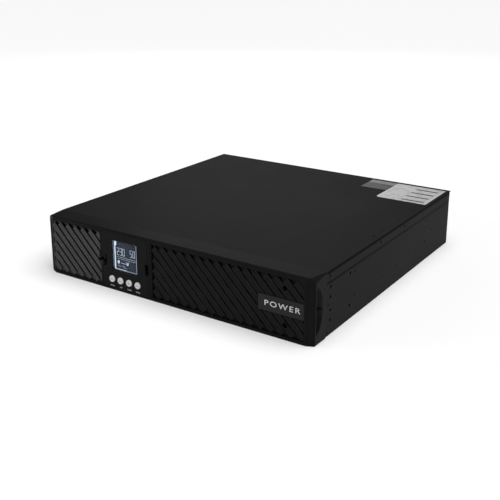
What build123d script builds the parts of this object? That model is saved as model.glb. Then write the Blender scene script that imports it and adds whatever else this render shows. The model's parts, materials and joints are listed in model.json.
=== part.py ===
from build123d import *
import os
from math import atan2, degrees, hypot, sqrt

# Rack and tower uninterruptible power supply, two units high.
# Millimetres. +Z up, the front faces -Y, +X is to the right seen from the front.
# Origin: centre of the footprint, on the surface the case stands on.

# ---------------------------------------------------------------- case
WIDTH = 438.0
HEIGHT = 86.5
DEPTH = 436.0                    # bezel face to the rear edge of the steel
FRONT = -DEPTH / 2               # y of the bezel face
REAR = DEPTH / 2                 # y of the rear edge of the steel
SIDE = WIDTH / 2
BEZEL_DEPTH = 30.0
STEEL_FRONT = FRONT + BEZEL_DEPTH
PAN_SHEET = 1.2
LID_SHEET = 1.0
LABEL_THICKNESS = 0.2
LID_TOP = HEIGHT - LABEL_THICKNESS
PAN_SIDE = SIDE - LID_SHEET - 0.1   # outer face of the pan's side walls
FLANGE_BOTTOM = 72.4             # lower edge of the lid's side flanges
FLANGE_END = REAR - 4.0
GROOVE_HEIGHT = 1.3              # under the edge of the lid's top, along each side
GROOVE_DEPTH = 0.6
FLANGE_SCREWS_Y = (FRONT + 38.4, FRONT + 179.0, FRONT + 256.8)
FLANGE_SCREW_Z = 79.0
LID_HOLE_RADIUS = 1.4
LID_HOLES_Y = (FRONT + 174.7, FRONT + 203.8, FRONT + 252.8)
LID_HOLE_INSET = 9.6             # from the case side

# rack-ear holes in the pan's side walls
EAR_HOLE_RADIUS = 2.0
EAR_Z = 41.7
EAR_SPAN_Z = 43.6
EAR_INNER_SPAN_Z = 17.4
EAR_FRONT_Y = FRONT + 42.7
EAR_SPAN_Y = 51.3

# ---------------------------------------------------------------- bezel
CORNER_FRONT = 8.0               # upper corner radius of the bezel outline at its face
CORNER_REAR = 1.5
CORNER_LOW = 2.0                 # lower corner radius at the face
EDGE_ROUND = 3.0
SKIN = 3.0                       # front skin
WALL = 2.5
PILLAR_WIDTH = 11.0              # chamfered pillar at each end
PILLAR_DEPTH = 4.6
BAND_INSET = 0.8
BAND_LOW = 3.5
BAND_HIGH = 80.0
SPLIT_X = -28.3                  # split between the fixed frame and the cover
SPLIT_GAP = 0.4
SCOOP_START = FRONT + 6.2
SCOOP_REACH = 15.4
SCOOP_Z = 44.3
SCOOP_HALF = 30.7
SCOOP_DEPTH = 6.0
SCOOP_FLOOR_REACH = 3.5          # its floor at full depth, behind the pillar
SCOOP_FLOOR_HALF = 25.0
RIB_LOW = 43.4
RIB_HIGH = 45.2
RIB_INSET = 1.2                  # outer edge of the rib below the side face

# ---------------------------------------------------------------- louvre grilles
BAR_PITCH = 14.6                 # along the horizontal
BAR_WIDTH = 8.2
GRILLE_LOW = 4.1
GRILLE_HIGH = 80.5
LEFT_GRILLE = (-210.5, -117.1)
RIGHT_GRILLE = (-26.0, 205.8)
LEFT_BAR_START = -191.0          # x + z along the middle line of the lowest bar
RIGHT_BAR_START = -6.3
GRILLE_BACK = FRONT + SKIN       # front of the backing plate
BACKING = 2.0
SLOT_WIDTH = 2.1

# ---------------------------------------------------------------- name plate, cover screws
PLATE_X = (141.3, 205.6)
PLATE_Z = (31.7, 53.0)
SCREW_X = 179.0
SCREWS_Z = (18.3, 67.0)
BOSS_RADIUS = 5.5
HEAD_RADIUS = 3.0
SHANK_RADIUS = 1.75
HEAD_DEPTH = 8.0                 # of the head's face below the bezel face
HEAD_LENGTH = 2.6

# ---------------------------------------------------------------- display panel
PANEL_X = -74.4
PANEL_Z = 43.0
PANEL_SIZE = 80.0
PANEL_DEPTH = 25.0
PANEL_WALL = 2.4
PANEL_GAP = 0.3
WINDOW_X = (-96.4, -52.1)
WINDOW_Z = (30.0, 72.9)
WINDOW_THICKNESS = 1.5
BUTTONS_X = (-97.3, -82.2, -66.8, -51.6)
BUTTON_NAMES = ("escape", "up", "down", "enter")
BUTTON_Z = 16.1
BUTTON_RADIUS = 4.65
BUTTON_GAP = 0.1
BUTTON_PROUD = 2.0
BUTTON_TRAVEL = 0.8
NOTCH_LEFT = (-120.7, -106.4)
NOTCH_RIGHT = (-38.2, -32.0)
NOTCH_Z = (33.0, 50.0)
NOTCH_DEPTH = 8.0

# ---------------------------------------------------------------- battery bay
PARTITION_X = -27.4
PARTITION_SHEET = 1.0
PARTITION_END = 142.0
TRAY_X = (-25.0, 175.0)
TRAY_Y = (STEEL_FRONT + 2.0, 126.0)
TRAY_FLOOR = 1.6
TRAY_SHEET = 1.2
TRAY_WALL_HEIGHT = 22.0
TRAY_FRONT_HEIGHT = 78.0
BATTERY = (93.0, 150.0, 64.0)
TERMINAL_REACH = 4.0
HANDLE_SPAN = 90.0
HANDLE_RADIUS = 2.5
HANDLE_REACH = 17.0

# ---------------------------------------------------------------- electronics bay
BOARD_X = (-212.0, -32.0)
BOARD_Y = (-170.0, 176.0)
BOARD_Z = 9.0
BOARD_THICKNESS = 1.6
BOARD_TOP = BOARD_Z + BOARD_THICKNESS
FIN_THICKNESS = 1.6
FIN_PITCH = 5.0

# ---------------------------------------------------------------- rear panel
PANEL_SHEET = 1.2
REAR_FACE = REAR - 1.0           # outer face of the rear panel
REAR_INNER = REAR_FACE - PANEL_SHEET
REAR_PROUD = 3.0                 # furthest any rear fitting stands out of the panel
FAN_SIZE = 80.0
FAN_DEPTH = 25.0
FANS_X = (-173.0, -90.0)
FAN_Z = 43.2
FAN_BORE = 38.0
ROTOR_RADIUS = 36.8
HUB_RADIUS = 18.5
BLADES = 7
AXLE_RADIUS = 1.5
AXLE_GAP = 0.05
FAN_HOLE_SPAN = 71.5
STAY_LENGTH = 94.6
OUTLET_WIDTH = 31.0
OUTLETS_X = tuple(44.0 + OUTLET_WIDTH * i for i in range(4))
OUTLETS_Z = (64.5, 25.5)
OUTLET_HEIGHT = 27.0
INLET_X = 189.0
INLET_Z = 61.0
BREAKER_X = 189.0
BREAKER_Z = 24.0
BREAKER_RADIUS = 5.0
BREAKER_GAP = 0.1
EARTH_X = 26.0
EARTH_Z = 45.0

# cut-outs in the rear panel: low x, high x, low z, high z
INLET_CUT = (INLET_X - 16, INLET_X + 16, INLET_Z - 12, INLET_Z + 12)
SLOT_CUT = (-40, 20, 53, 77)
SERIAL_CUT = (-42, -22, 33, 43)
USB_CUT = (8, 20, 32, 43)
NETWORK_CUT = (-43, -11, 9.5, 23)
EPO_CUT = (-14, -2, 33, 42)
BATTERY_CUT = (-3, 23, 8, 24)
NETWORK_MOUTHS = tuple((NETWORK_CUT[0] + 2.2 + 16 * i, NETWORK_CUT[0] + 13.8 + 16 * i,
                        NETWORK_CUT[2] + 3.4, NETWORK_CUT[2] + 11.6) for i in range(2))


def block(x0, x1, y0, y1, z0, z1):
    """Box between two corners."""
    return Pos((x0 + x1) / 2, (y0 + y1) / 2, (z0 + z1) / 2) * Box(x1 - x0, y1 - y0, z1 - z0)


def rod_x(y, z, radius, x0, x1):
    return Pos((x0 + x1) / 2, y, z) * Rot(0, 90, 0) * Cylinder(radius, x1 - x0)


def rod_y(x, z, radius, y0, y1):
    return Pos(x, (y0 + y1) / 2, z) * Rot(90, 0, 0) * Cylinder(radius, y1 - y0)


def rod_z(x, y, radius, z0, z1):
    return Pos(x, y, (z0 + z1) / 2) * Cylinder(radius, z1 - z0)


def tube_y(x, z, outer, inner, y0, y1):
    return rod_y(x, z, outer, y0, y1) - rod_y(x, z, inner, y0 - 1, y1 + 1)


def slab_y(sketch, y0, y1):
    """Sketch drawn in x and z, extruded from y0 to y1."""
    return extrude(Plane((0, y1, 0), x_dir=(1, 0, 0), z_dir=(0, -1, 0)) * sketch, y1 - y0)


def rounded_block(x0, x1, y0, y1, z0, z1, radius):
    """Box whose four edges along y are rounded."""
    sketch = Pos((x0 + x1) / 2, (z0 + z1) / 2) * RectangleRounded(x1 - x0, z1 - z0, radius)
    return slab_y(sketch, y0, y1)


def merged(shapes):
    """One compound of separate solids."""
    solids = []
    for shape in shapes:
        solids.extend(shape.solids())
    return Compound(children=solids)


def mirrored(shape):
    return mirror(shape, about=Plane.YZ)


# ================================================================ steel case

def ear_holes(side):
    """Rack-ear holes of one side wall: a rectangle of four and a closer pair."""
    x0 = side * (PAN_SIDE + 1)
    x1 = side * (PAN_SIDE - PAN_SHEET - 1)
    low, high = min(x0, x1), max(x0, x1)
    holes = []
    for y in (EAR_FRONT_Y, EAR_FRONT_Y + EAR_SPAN_Y):
        for z in (EAR_Z - EAR_SPAN_Z / 2, EAR_Z + EAR_SPAN_Z / 2):
            holes.append(rod_x(y, z, EAR_HOLE_RADIUS, low, high))
    for z in (EAR_Z - EAR_INNER_SPAN_Z / 2, EAR_Z + EAR_INNER_SPAN_Z / 2):
        holes.append(rod_x(EAR_FRONT_Y, z, EAR_HOLE_RADIUS, low, high))
    return holes


def base_pan():
    """Folded steel base with its two side walls."""
    top = LID_TOP - LID_SHEET
    outer = block(-PAN_SIDE, PAN_SIDE, STEEL_FRONT, REAR_INNER, 0, top)
    inner = block(-PAN_SIDE + PAN_SHEET, PAN_SIDE - PAN_SHEET, STEEL_FRONT - 1, REAR + 1, PAN_SHEET, top + 1)
    pan = outer - inner
    for side in (-1, 1):
        for hole in ear_holes(side):
            pan -= hole
        for y in FLANGE_SCREWS_Y:
            inner_x = side * (PAN_SIDE - PAN_SHEET - 1)
            outer_x = side * (PAN_SIDE + 1)
            pan -= rod_x(y, FLANGE_SCREW_Z, SHANK_RADIUS, min(inner_x, outer_x), max(inner_x, outer_x))
    return pan


def top_cover():
    """Lid with a flange folded down each side."""
    plate = block(-SIDE, SIDE, STEEL_FRONT, REAR, LID_TOP - LID_SHEET, LID_TOP)
    lid = plate
    for side in (-1, 1):
        x0, x1 = sorted((side * (SIDE - LID_SHEET), side * SIDE))
        flange = block(x0, x1, STEEL_FRONT, FLANGE_END, FLANGE_BOTTOM, LID_TOP)
        notch = rod_x(FLANGE_END, FLANGE_BOTTOM, 5.0, x0 - 1, x1 + 1)
        lid += flange - notch
        g0, g1 = sorted((side * (SIDE - GROOVE_DEPTH), side * (SIDE + 1)))
        lid -= block(g0, g1, STEEL_FRONT - 1, FLANGE_END + 1,
                     LID_TOP - LID_SHEET - GROOVE_HEIGHT, LID_TOP - LID_SHEET)
        for y in FLANGE_SCREWS_Y:
            lid -= rod_x(y, FLANGE_SCREW_Z, SHANK_RADIUS + 0.25, x0 - 1, x1 + 1)
        for y in LID_HOLES_Y:
            lid -= rod_z(side * (SIDE - LID_HOLE_INSET), y, LID_HOLE_RADIUS, LID_TOP - 2, LID_TOP + 1)
    return lid


def flange_screws():
    """Countersunk screws, heads level with the flanges."""
    screws = []
    for y in FLANGE_SCREWS_Y:
        shank = rod_x(y, FLANGE_SCREW_Z, SHANK_RADIUS - 0.05, SIDE - 7.0, SIDE - 0.1)
        screws.append(shank)
        screws.append(mirrored(shank))
    return merged(screws)


def lid_labels():
    """Two stickers near the lid's right rear corner."""
    low = LID_TOP
    high = LID_TOP + LABEL_THICKNESS
    big = block(133.6, 214.0, FRONT + 343.4, FRONT + 427.8, low, high)
    corner = Pos(133.6, FRONT + 343.4, (low + high) / 2) * Rot(0, 0, 45) * Box(5, 5, 1)
    small = block(89.0, 133.2, FRONT + 382.5, FRONT + 427.8, low, high)
    return merged([big - corner, small])


# ================================================================ bezel

def bezel_outline(y, upper, lower):
    """Front outline with its own upper and lower corner radius."""
    outline = Rectangle(WIDTH, HEIGHT)
    corners = outline.vertices().sort_by(Axis.Y)
    outline = fillet(corners[:2], lower)
    corners = outline.vertices().sort_by(Axis.Y)
    outline = fillet(corners[-2:], upper)
    return Plane((0, y, HEIGHT / 2), x_dir=(1, 0, 0), z_dir=(0, -1, 0)) * outline


def pillar_cuts():
    """Chamfer and shallow band at both ends of the bezel."""
    wedge = Polyline((SIDE - PILLAR_WIDTH, FRONT), (SIDE + 1, FRONT - 1),
                     (SIDE + 1, FRONT + PILLAR_DEPTH * (1 + 1 / PILLAR_WIDTH)), close=True)
    chamfer = extrude(make_face(wedge), HEIGHT)
    length = hypot(PILLAR_WIDTH, PILLAR_DEPTH)
    turn = degrees(atan2(PILLAR_DEPTH, PILLAR_WIDTH))
    middle = Pos(SIDE - PILLAR_WIDTH / 2, FRONT + PILLAR_DEPTH / 2, (BAND_LOW + BAND_HIGH) / 2)
    band = middle * Rot(0, 0, turn) * Box(length - 2.4, 2 * BAND_INSET, BAND_HIGH - BAND_LOW)
    return [chamfer, band, mirrored(chamfer), mirrored(band)]


def scoop():
    """Oval finger scoop behind the right pillar, sloping down towards it, with a rib across."""
    mouth = Plane((SIDE, SCOOP_START, SCOOP_Z), x_dir=(0, 1, 0), z_dir=(1, 0, 0))
    floor = Plane((SIDE - SCOOP_DEPTH, SCOOP_START, SCOOP_Z), x_dir=(0, 1, 0), z_dir=(1, 0, 0))
    rim = mouth * Ellipse(SCOOP_REACH, SCOOP_HALF)
    oval = loft([floor * Ellipse(SCOOP_FLOOR_REACH, SCOOP_FLOOR_HALF), rim], ruled=True)
    oval += extrude(rim, 1.0)
    front_half = block(SIDE - 20, SIDE + 20, SCOOP_START - 40, SCOOP_START, 0, HEIGHT)
    rib = block(SIDE - SCOOP_DEPTH - 1, SIDE - RIB_INSET, SCOOP_START - 1, SCOOP_START + 20,
                RIB_LOW, RIB_HIGH)
    return oval - front_half - rib


def scoop_lining():
    """Closed wall behind the right scoop and chamfer, as high as the cavity."""
    return block(SIDE - SCOOP_DEPTH - 2, SIDE - WALL + 0.1, FRONT + SKIN - 0.1, SCOOP_START + SCOOP_REACH + 2,
                 WALL - 0.1, HEIGHT - WALL + 0.1)


def bezel_shell():
    """Hollow bezel over the whole width, before it is split in two."""
    face = bezel_outline(FRONT, CORNER_FRONT, CORNER_LOW)
    body = loft([face, bezel_outline(STEEL_FRONT, CORNER_REAR, CORNER_REAR)], ruled=True)
    edge = block(-SIDE - 1, SIDE + 1, FRONT - 1, FRONT + EDGE_ROUND, HEIGHT - EDGE_ROUND, HEIGHT + 1)
    edge -= rod_x(FRONT + EDGE_ROUND, HEIGHT - EDGE_ROUND, EDGE_ROUND, -SIDE - 2, SIDE + 2)
    body -= edge
    cavity = rounded_block(-SIDE + WALL, SIDE - WALL, FRONT + SKIN, STEEL_FRONT + 1, WALL, HEIGHT - WALL, 6.5)
    body -= cavity
    lining = scoop_lining()
    hollow = scoop()
    body += lining
    body += mirrored(lining)
    body -= hollow
    body -= mirrored(hollow)
    for cut in pillar_cuts():
        body -= cut
    return body


def notch(span, z0, z1, depth):
    """Finger notch beside the display panel."""
    radius = min(2.9, (span[1] - span[0]) / 2.2)
    return rounded_block(span[0], span[1], FRONT - 1, FRONT + depth, z0, z1, radius)


def bezel_frame(shell):
    """Fixed left part of the bezel, with the openings for the grille and the display."""
    right = SPLIT_X - SPLIT_GAP / 2
    frame = shell & block(-SIDE - 1, right, FRONT - 1, STEEL_FRONT + 1, -1, HEIGHT + 1)
    side_wall = block(right - WALL, right, FRONT + SKIN - 0.1, STEEL_FRONT, WALL - 0.1, HEIGHT - WALL + 0.1)
    frame += side_wall
    frame -= block(LEFT_GRILLE[0], LEFT_GRILLE[1], FRONT - 1, FRONT + SKIN + 1, GRILLE_LOW, GRILLE_HIGH)
    half = PANEL_SIZE / 2 + PANEL_GAP
    frame -= block(PANEL_X - half, PANEL_X + half, FRONT - 1, FRONT + SKIN + 1,
                   PANEL_Z - half, PANEL_Z + half)
    frame -= notch(NOTCH_LEFT, *NOTCH_Z, NOTCH_DEPTH)
    frame -= notch(NOTCH_RIGHT, *NOTCH_Z, NOTCH_DEPTH)
    return frame


def front_cover(shell):
    """Removable right part of the bezel, over the battery bay."""
    left = SPLIT_X + SPLIT_GAP / 2
    cover = shell & block(left, SIDE + 1, FRONT - 1, STEEL_FRONT + 1, -1, HEIGHT + 1)
    cover += block(left, left + 2.0, FRONT + SKIN - 0.1, STEEL_FRONT, WALL - 0.1, HEIGHT - WALL + 0.1)
    opening = rounded_block(RIGHT_GRILLE[0], RIGHT_GRILLE[1], FRONT - 1, FRONT + SKIN + 1,
                            GRILLE_LOW, GRILLE_HIGH, 0.8)
    corner = Pos(RIGHT_GRILLE[1], 0, GRILLE_HIGH) * Rot(0, 45, 0) * Box(11, 500, 11)
    return cover - (opening - corner)


# ================================================================ louvre grilles

def bar_box(middle, width, span, low, high, y0, y1, flush):
    """One bar at 45 degrees, falling to the right along x + z = middle.

    Its square ends reach the left, top and bottom edges with one corner. Where
    flush is true the bar runs on past the right edge, to be trimmed there."""
    across = middle / sqrt(2)
    near = across - width / 2
    far = across + width / 2
    start = max(sqrt(2) * span[0] - near, far - sqrt(2) * high)
    end = near - sqrt(2) * low
    if not flush:
        end = min(end, sqrt(2) * span[1] - far)
    if end - start < 2:
        return None
    along = (start + end) / 2
    place = Pos((along + across) / sqrt(2), (y0 + y1) / 2, (across - along) / sqrt(2))
    return place * Rot(0, 45, 0) * Box(end - start, y1 - y0, width)


def bars(first, span, flush):
    """All the bars of one grille, as a list."""
    row = []
    middle = first
    while middle < span[1] + GRILLE_HIGH:
        bar = bar_box(middle, BAR_WIDTH, span, GRILLE_LOW, GRILLE_HIGH, FRONT + 0.2, GRILLE_BACK, flush)
        if bar is not None:
            row.append(bar)
        middle += BAR_PITCH
    return row


def slots(first, span):
    """Air slots through the backing, between the bars."""
    row = []
    middle = first + BAR_PITCH / 2
    while middle < span[1] + GRILLE_HIGH - BAR_PITCH:
        slot = bar_box(middle, SLOT_WIDTH, (span[0] + 3, span[1] - 3), GRILLE_LOW + 3, GRILLE_HIGH - 3,
                       GRILLE_BACK - 1, GRILLE_BACK + BACKING + 1, False)
        if slot is not None:
            row.append(slot)
        middle += BAR_PITCH
    return row


def left_grille():
    low, high = GRILLE_LOW - 0.9, GRILLE_HIGH + 1.5
    grille = block(LEFT_GRILLE[0] - 0.3, LEFT_GRILLE[1] + 0.4, GRILLE_BACK, GRILLE_BACK + BACKING, low, high)
    for slot in slots(LEFT_BAR_START, LEFT_GRILLE):
        grille -= slot
    trim = block(LEFT_GRILLE[0] + 0.05, LEFT_GRILLE[1] - 0.05, FRONT, GRILLE_BACK, GRILLE_LOW, GRILLE_HIGH)
    for bar in bars(LEFT_BAR_START, LEFT_GRILLE, True):
        grille += bar & trim
    pocket = block(NOTCH_LEFT[0] - 1.5, LEFT_GRILLE[1] + 0.4, GRILLE_BACK, FRONT + NOTCH_DEPTH + 1.5,
                   NOTCH_Z[0] - 1.5, NOTCH_Z[1] + 1.5)
    grille += pocket
    grille -= notch(NOTCH_LEFT, *NOTCH_Z, NOTCH_DEPTH)
    return grille


def right_grille():
    low, high = GRILLE_LOW - 0.9, GRILLE_HIGH + 1.5
    x0, x1 = RIGHT_GRILLE
    grille = block(x0 + 0.2, x1 + 0.2, GRILLE_BACK, GRILLE_BACK + BACKING, low, high)
    for slot in slots(RIGHT_BAR_START, RIGHT_GRILLE):
        grille -= slot
    corner = Pos(RIGHT_GRILLE[1], 0, GRILLE_HIGH) * Rot(0, 45, 0) * Box(11.4, 500, 11.4)
    trim = block(RIGHT_GRILLE[0] + 0.05, RIGHT_GRILLE[1] - 0.05, FRONT, GRILLE_BACK, GRILLE_LOW, GRILLE_HIGH)
    trim -= corner
    for bar in bars(RIGHT_BAR_START, RIGHT_GRILLE, True):
        grille += bar & trim
    grille += block(PLATE_X[0] - 1.0, RIGHT_GRILLE[1] - 0.1, FRONT + 1.6, GRILLE_BACK + BACKING,
                    PLATE_Z[0] - 1.0, PLATE_Z[1] + 1.0)
    grille -= block(PLATE_X[0], RIGHT_GRILLE[1] - 0.05, FRONT, FRONT + 1.6, PLATE_Z[0], PLATE_Z[1])
    for z in SCREWS_Z:
        grille += rod_y(SCREW_X, z, BOSS_RADIUS, FRONT + 0.2, STEEL_FRONT - 0.5)
        grille -= rod_y(SCREW_X, z, HEAD_RADIUS + 0.25, FRONT - 1, FRONT + HEAD_DEPTH + HEAD_LENGTH)
        grille -= rod_y(SCREW_X, z, SHANK_RADIUS + 0.25, FRONT, STEEL_FRONT)
    return grille


def name_plate():
    gap = 0.05
    return block(PLATE_X[0] + gap, PLATE_X[1], FRONT + 0.1, FRONT + 1.6, PLATE_Z[0] + gap, PLATE_Z[1] - gap)


def cover_screws():
    """Captive cross-head screws of the removable cover."""
    screws = []
    for z in SCREWS_Z:
        face = FRONT + HEAD_DEPTH
        screw = rod_y(SCREW_X, z, HEAD_RADIUS, face, face + HEAD_LENGTH)
        screw += rod_y(SCREW_X, z, SHANK_RADIUS, face + HEAD_LENGTH, STEEL_FRONT + 8.0)
        for size in ((3.4, 0.9), (0.9, 3.4)):
            screw -= Pos(SCREW_X, face + 0.5, z) * Box(size[0], 1.2, size[1])
        screws.append(screw)
    return merged(screws)


def cover_bracket():
    """Steel bracket beside the battery bay that the cover screws run into."""
    inner = PAN_SIDE - PAN_SHEET
    y0 = STEEL_FRONT + 1.0
    plate = block(TRAY_X[1] + 1.5, inner, y0, y0 + 1.2, PAN_SHEET, LID_TOP - LID_SHEET - 0.5)
    plate += block(inner - 1.2, inner, y0, y0 + 18, PAN_SHEET, 12)
    for z in SCREWS_Z:
        plate += rod_y(SCREW_X + 0.3, z, 2.9, y0 + 1.2, y0 + 6)
        plate -= rod_y(SCREW_X, z, SHANK_RADIUS + 0.05, y0 - 1, y0 + 9)
    return plate


# ================================================================ display panel

def display_shell():
    """Square moulded panel that carries the display and the keys."""
    half = PANEL_SIZE / 2
    x0, x1 = PANEL_X - half, PANEL_X + half
    z0, z1 = PANEL_Z - half, PANEL_Z + half
    back = FRONT + PANEL_DEPTH
    shell = rounded_block(x0, x1, FRONT, back, z0, z1, 1.0)
    shell -= block(x0 + PANEL_WALL, x1 - PANEL_WALL, FRONT + PANEL_WALL, back + 1,
                   z0 + PANEL_WALL, z1 - PANEL_WALL)
    for span in (NOTCH_LEFT, NOTCH_RIGHT):
        low, high = max(span[0] - 1.5, x0), min(span[1] + 1.5, x1)
        shell += block(low, high, FRONT + 1, FRONT + NOTCH_DEPTH + 1.5, NOTCH_Z[0] - 1.5, NOTCH_Z[1] + 1.5)
    for span in (NOTCH_LEFT, NOTCH_RIGHT):
        shell -= notch(span, *NOTCH_Z, NOTCH_DEPTH)
    shell -= block(WINDOW_X[0], WINDOW_X[1], FRONT - 1, FRONT + 5, WINDOW_Z[0], WINDOW_Z[1])
    for x in BUTTONS_X:
        shell -= rod_y(x, BUTTON_Z, BUTTON_RADIUS + BUTTON_GAP, FRONT - 1, FRONT + 5)
    return shell


def display_window():
    """Clear window, a shade below the panel face."""
    clear = 0.1
    return block(WINDOW_X[0] + clear, WINDOW_X[1] - clear, FRONT + 0.5, FRONT + 0.5 + WINDOW_THICKNESS,
                 WINDOW_Z[0] + clear, WINDOW_Z[1] - clear)


def lcd_module():
    """Liquid crystal glass on its backlight frame."""
    y0 = FRONT + PANEL_WALL + 0.1
    frame = block(WINDOW_X[0] - 4, WINDOW_X[1] + 4, y0, y0 + 6, WINDOW_Z[0] - 3.5, WINDOW_Z[1] + 3)
    return frame


def display_board():
    """Circuit board behind the display with the four key switches on it."""
    y0 = FRONT + PANEL_WALL + 6.3
    half = PANEL_SIZE / 2 - PANEL_WALL - 0.5
    x0 = PANEL_X - half + 8.5
    board = block(x0, PANEL_X + half - 6, y0, y0 + 1.6, PANEL_Z - half, PANEL_Z + half)
    parts = [board]
    for x in BUTTONS_X:
        parts.append(block(x - 3, x + 3, y0 - 3.0, y0, BUTTON_Z - 3, BUTTON_Z + 3))
    parts.append(block(PANEL_X - 10, PANEL_X + 10, y0 + 1.6, y0 + 6.6, 20, 27))
    return merged(parts)


def display_back():
    """Rear cover of the display panel."""
    inset = PANEL_WALL + 0.1
    half = PANEL_SIZE / 2 - inset
    back = FRONT + PANEL_DEPTH
    cover = block(PANEL_X - half, PANEL_X + half, back - 2, back, PANEL_Z - half, PANEL_Z + half)
    for x in (PANEL_X - half + 5, PANEL_X + half - 5):
        for z in (PANEL_Z - half + 5, PANEL_Z + half - 5):
            cover -= rod_y(x, z, 1.6, back - 3, back + 1)
    return cover - block(PANEL_X - 12, PANEL_X + 12, back - 3, back + 1, 18, 29)


def key(x):
    """Round key: cap, flange behind the panel and plunger."""
    face = FRONT + PANEL_WALL
    cap = rod_y(x, BUTTON_Z, BUTTON_RADIUS, FRONT - BUTTON_PROUD, face + 0.4)
    cap = fillet(cap.edges().group_by(Axis.Y)[0], 0.9)
    flange = rod_y(x, BUTTON_Z, BUTTON_RADIUS + 1.2, face + 0.1, face + 1.1)
    plunger = rod_y(x, BUTTON_Z, 1.6, face + 1.1, face + 6.3 - 3.0 - BUTTON_TRAVEL - 0.1)
    return cap + flange + plunger


def display_cradle():
    """Guide walls and back wall of the display pocket."""
    half = PANEL_SIZE / 2 + PANEL_GAP + 0.1
    y0, y1 = FRONT + SKIN, STEEL_FRONT - 0.2
    back = y1 - 1.5
    x0, x1 = PANEL_X - half, PANEL_X + half
    z0, z1 = WALL + 0.1, HEIGHT - WALL - 0.1
    cradle = block(x0 - 1.4, x1 + 1.4, back, y1, z0, z1)
    cradle += block(x0 - 1.4, x0, y0, back, z0, z1)
    cradle += block(x1, x1 + 1.4, y0, back, z0, z1)
    cradle -= block(PANEL_X - 13, PANEL_X + 13, back - 1, y1 + 1, 17, 30)
    cradle -= block(NOTCH_LEFT[0] - 2, x0 + 1, FRONT, FRONT + NOTCH_DEPTH + 1.6,
                    NOTCH_Z[0] - 1.6, NOTCH_Z[1] + 1.6)
    cradle -= notch(NOTCH_RIGHT, *NOTCH_Z, NOTCH_DEPTH)
    return cradle


# ================================================================ battery bay

def battery_partition():
    """Steel wall between the batteries and the electronics, with hold-down lip."""
    x0 = PARTITION_X
    top = LID_TOP - LID_SHEET
    wall = block(x0, x0 + PARTITION_SHEET, STEEL_FRONT + 1, PARTITION_END, PAN_SHEET, top)
    wall += block(x0 - 10, x0 + PARTITION_SHEET, STEEL_FRONT + 1, PARTITION_END, top - 1, top)
    wall += block(x0, PAN_SIDE - PAN_SHEET, PARTITION_END - 1, PARTITION_END, PAN_SHEET, top)
    wall -= block(60, 90, PARTITION_END - 2, PARTITION_END + 1, 26, 58)
    return wall


def battery_tray():
    """Sliding tray: floor, low sides, low back and a full-height front."""
    x0, x1 = TRAY_X
    y0, y1 = TRAY_Y
    z0 = TRAY_FLOOR
    tray = block(x0, x1, y0, y1, z0, z0 + TRAY_WALL_HEIGHT)
    tray -= block(x0 + TRAY_SHEET, x1 - TRAY_SHEET, y0 + TRAY_SHEET, y1 - TRAY_SHEET,
                  z0 + TRAY_SHEET, z0 + TRAY_WALL_HEIGHT + 1)
    tray += block(x0, x1, y0, y0 + TRAY_SHEET, z0, z0 + TRAY_FRONT_HEIGHT)
    middle = (x0 + x1) / 2
    for x in (middle - HANDLE_SPAN / 2, middle + HANDLE_SPAN / 2):
        tray -= rod_y(x, PANEL_Z, HANDLE_RADIUS, y0 - 1, y0 + TRAY_SHEET)
    return tray


def tray_handle():
    """Bent steel pull on the tray front."""
    y0 = TRAY_Y[0]
    middle = (TRAY_X[0] + TRAY_X[1]) / 2
    x0, x1 = middle - HANDLE_SPAN / 2, middle + HANDLE_SPAN / 2
    path = FilletPolyline((x0, y0 + TRAY_SHEET, PANEL_Z), (x0, y0 - HANDLE_REACH, PANEL_Z),
                          (x1, y0 - HANDLE_REACH, PANEL_Z), (x1, y0 + TRAY_SHEET, PANEL_Z), radius=8)
    profile = Plane((x0, y0 + TRAY_SHEET, PANEL_Z), z_dir=(0, -1, 0)) * Circle(HANDLE_RADIUS)
    return sweep(profile, path=path)


def battery_places():
    """Low corner of each battery and the side its terminals face."""
    x0 = TRAY_X[0] + TRAY_SHEET + 0.4
    x1 = TRAY_X[1] - TRAY_SHEET - 0.4 - BATTERY[0]
    y0 = TRAY_Y[0] + TRAY_SHEET + 0.6
    step = BATTERY[1] + 0.8
    z0 = TRAY_FLOOR + TRAY_SHEET + 0.1
    return [(x0, y0, z0, 1), (x1, y0, z0, -1), (x0, y0 + step, z0, 1), (x1, y0 + step, z0, -1)]


def battery(place):
    """Sealed lead-acid battery lying on its side, with a stepped lid."""
    x, y, z, side = place
    body = block(x, x + BATTERY[0], y, y + BATTERY[1], z, z + BATTERY[2])
    body = fillet(body.edges().filter_by(Axis.X), 2.0)
    lid_x = x + BATTERY[0] - 9 if side > 0 else x + 9
    groove = block(lid_x - 0.6, lid_x + 0.6, y - 1, y + BATTERY[1] + 1, z - 1, z + BATTERY[2] + 1)
    groove -= block(lid_x - 1, lid_x + 1, y + 0.8, y + BATTERY[1] - 0.8, z + 0.8, z + BATTERY[2] - 0.8)
    return body - groove


def battery_links():
    """Flat blade terminals of the batteries and the strips that join them in a row."""
    blades = []
    for x, y, z, side in battery_places():
        face = x + BATTERY[0] if side > 0 else x
        tip = face + side * TERMINAL_REACH
        x0, x1 = sorted((face, tip))
        for end in (14.0, BATTERY[1] - 14.0):
            blades.append(block(x0, x1, y + end - 3.2, y + end + 3.2, z + 50, z + 50.8))
    for x, y, z, side in battery_places()[:2]:
        face = x + BATTERY[0] if side > 0 else x
        x0, x1 = sorted((face + side * 0.5, face + side * 3.5))
        blades.append(block(x0, x1, y + BATTERY[1] - 14, y + BATTERY[1] + 14.8, z + 50.8, z + 52.3))
    return merged(blades)


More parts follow.
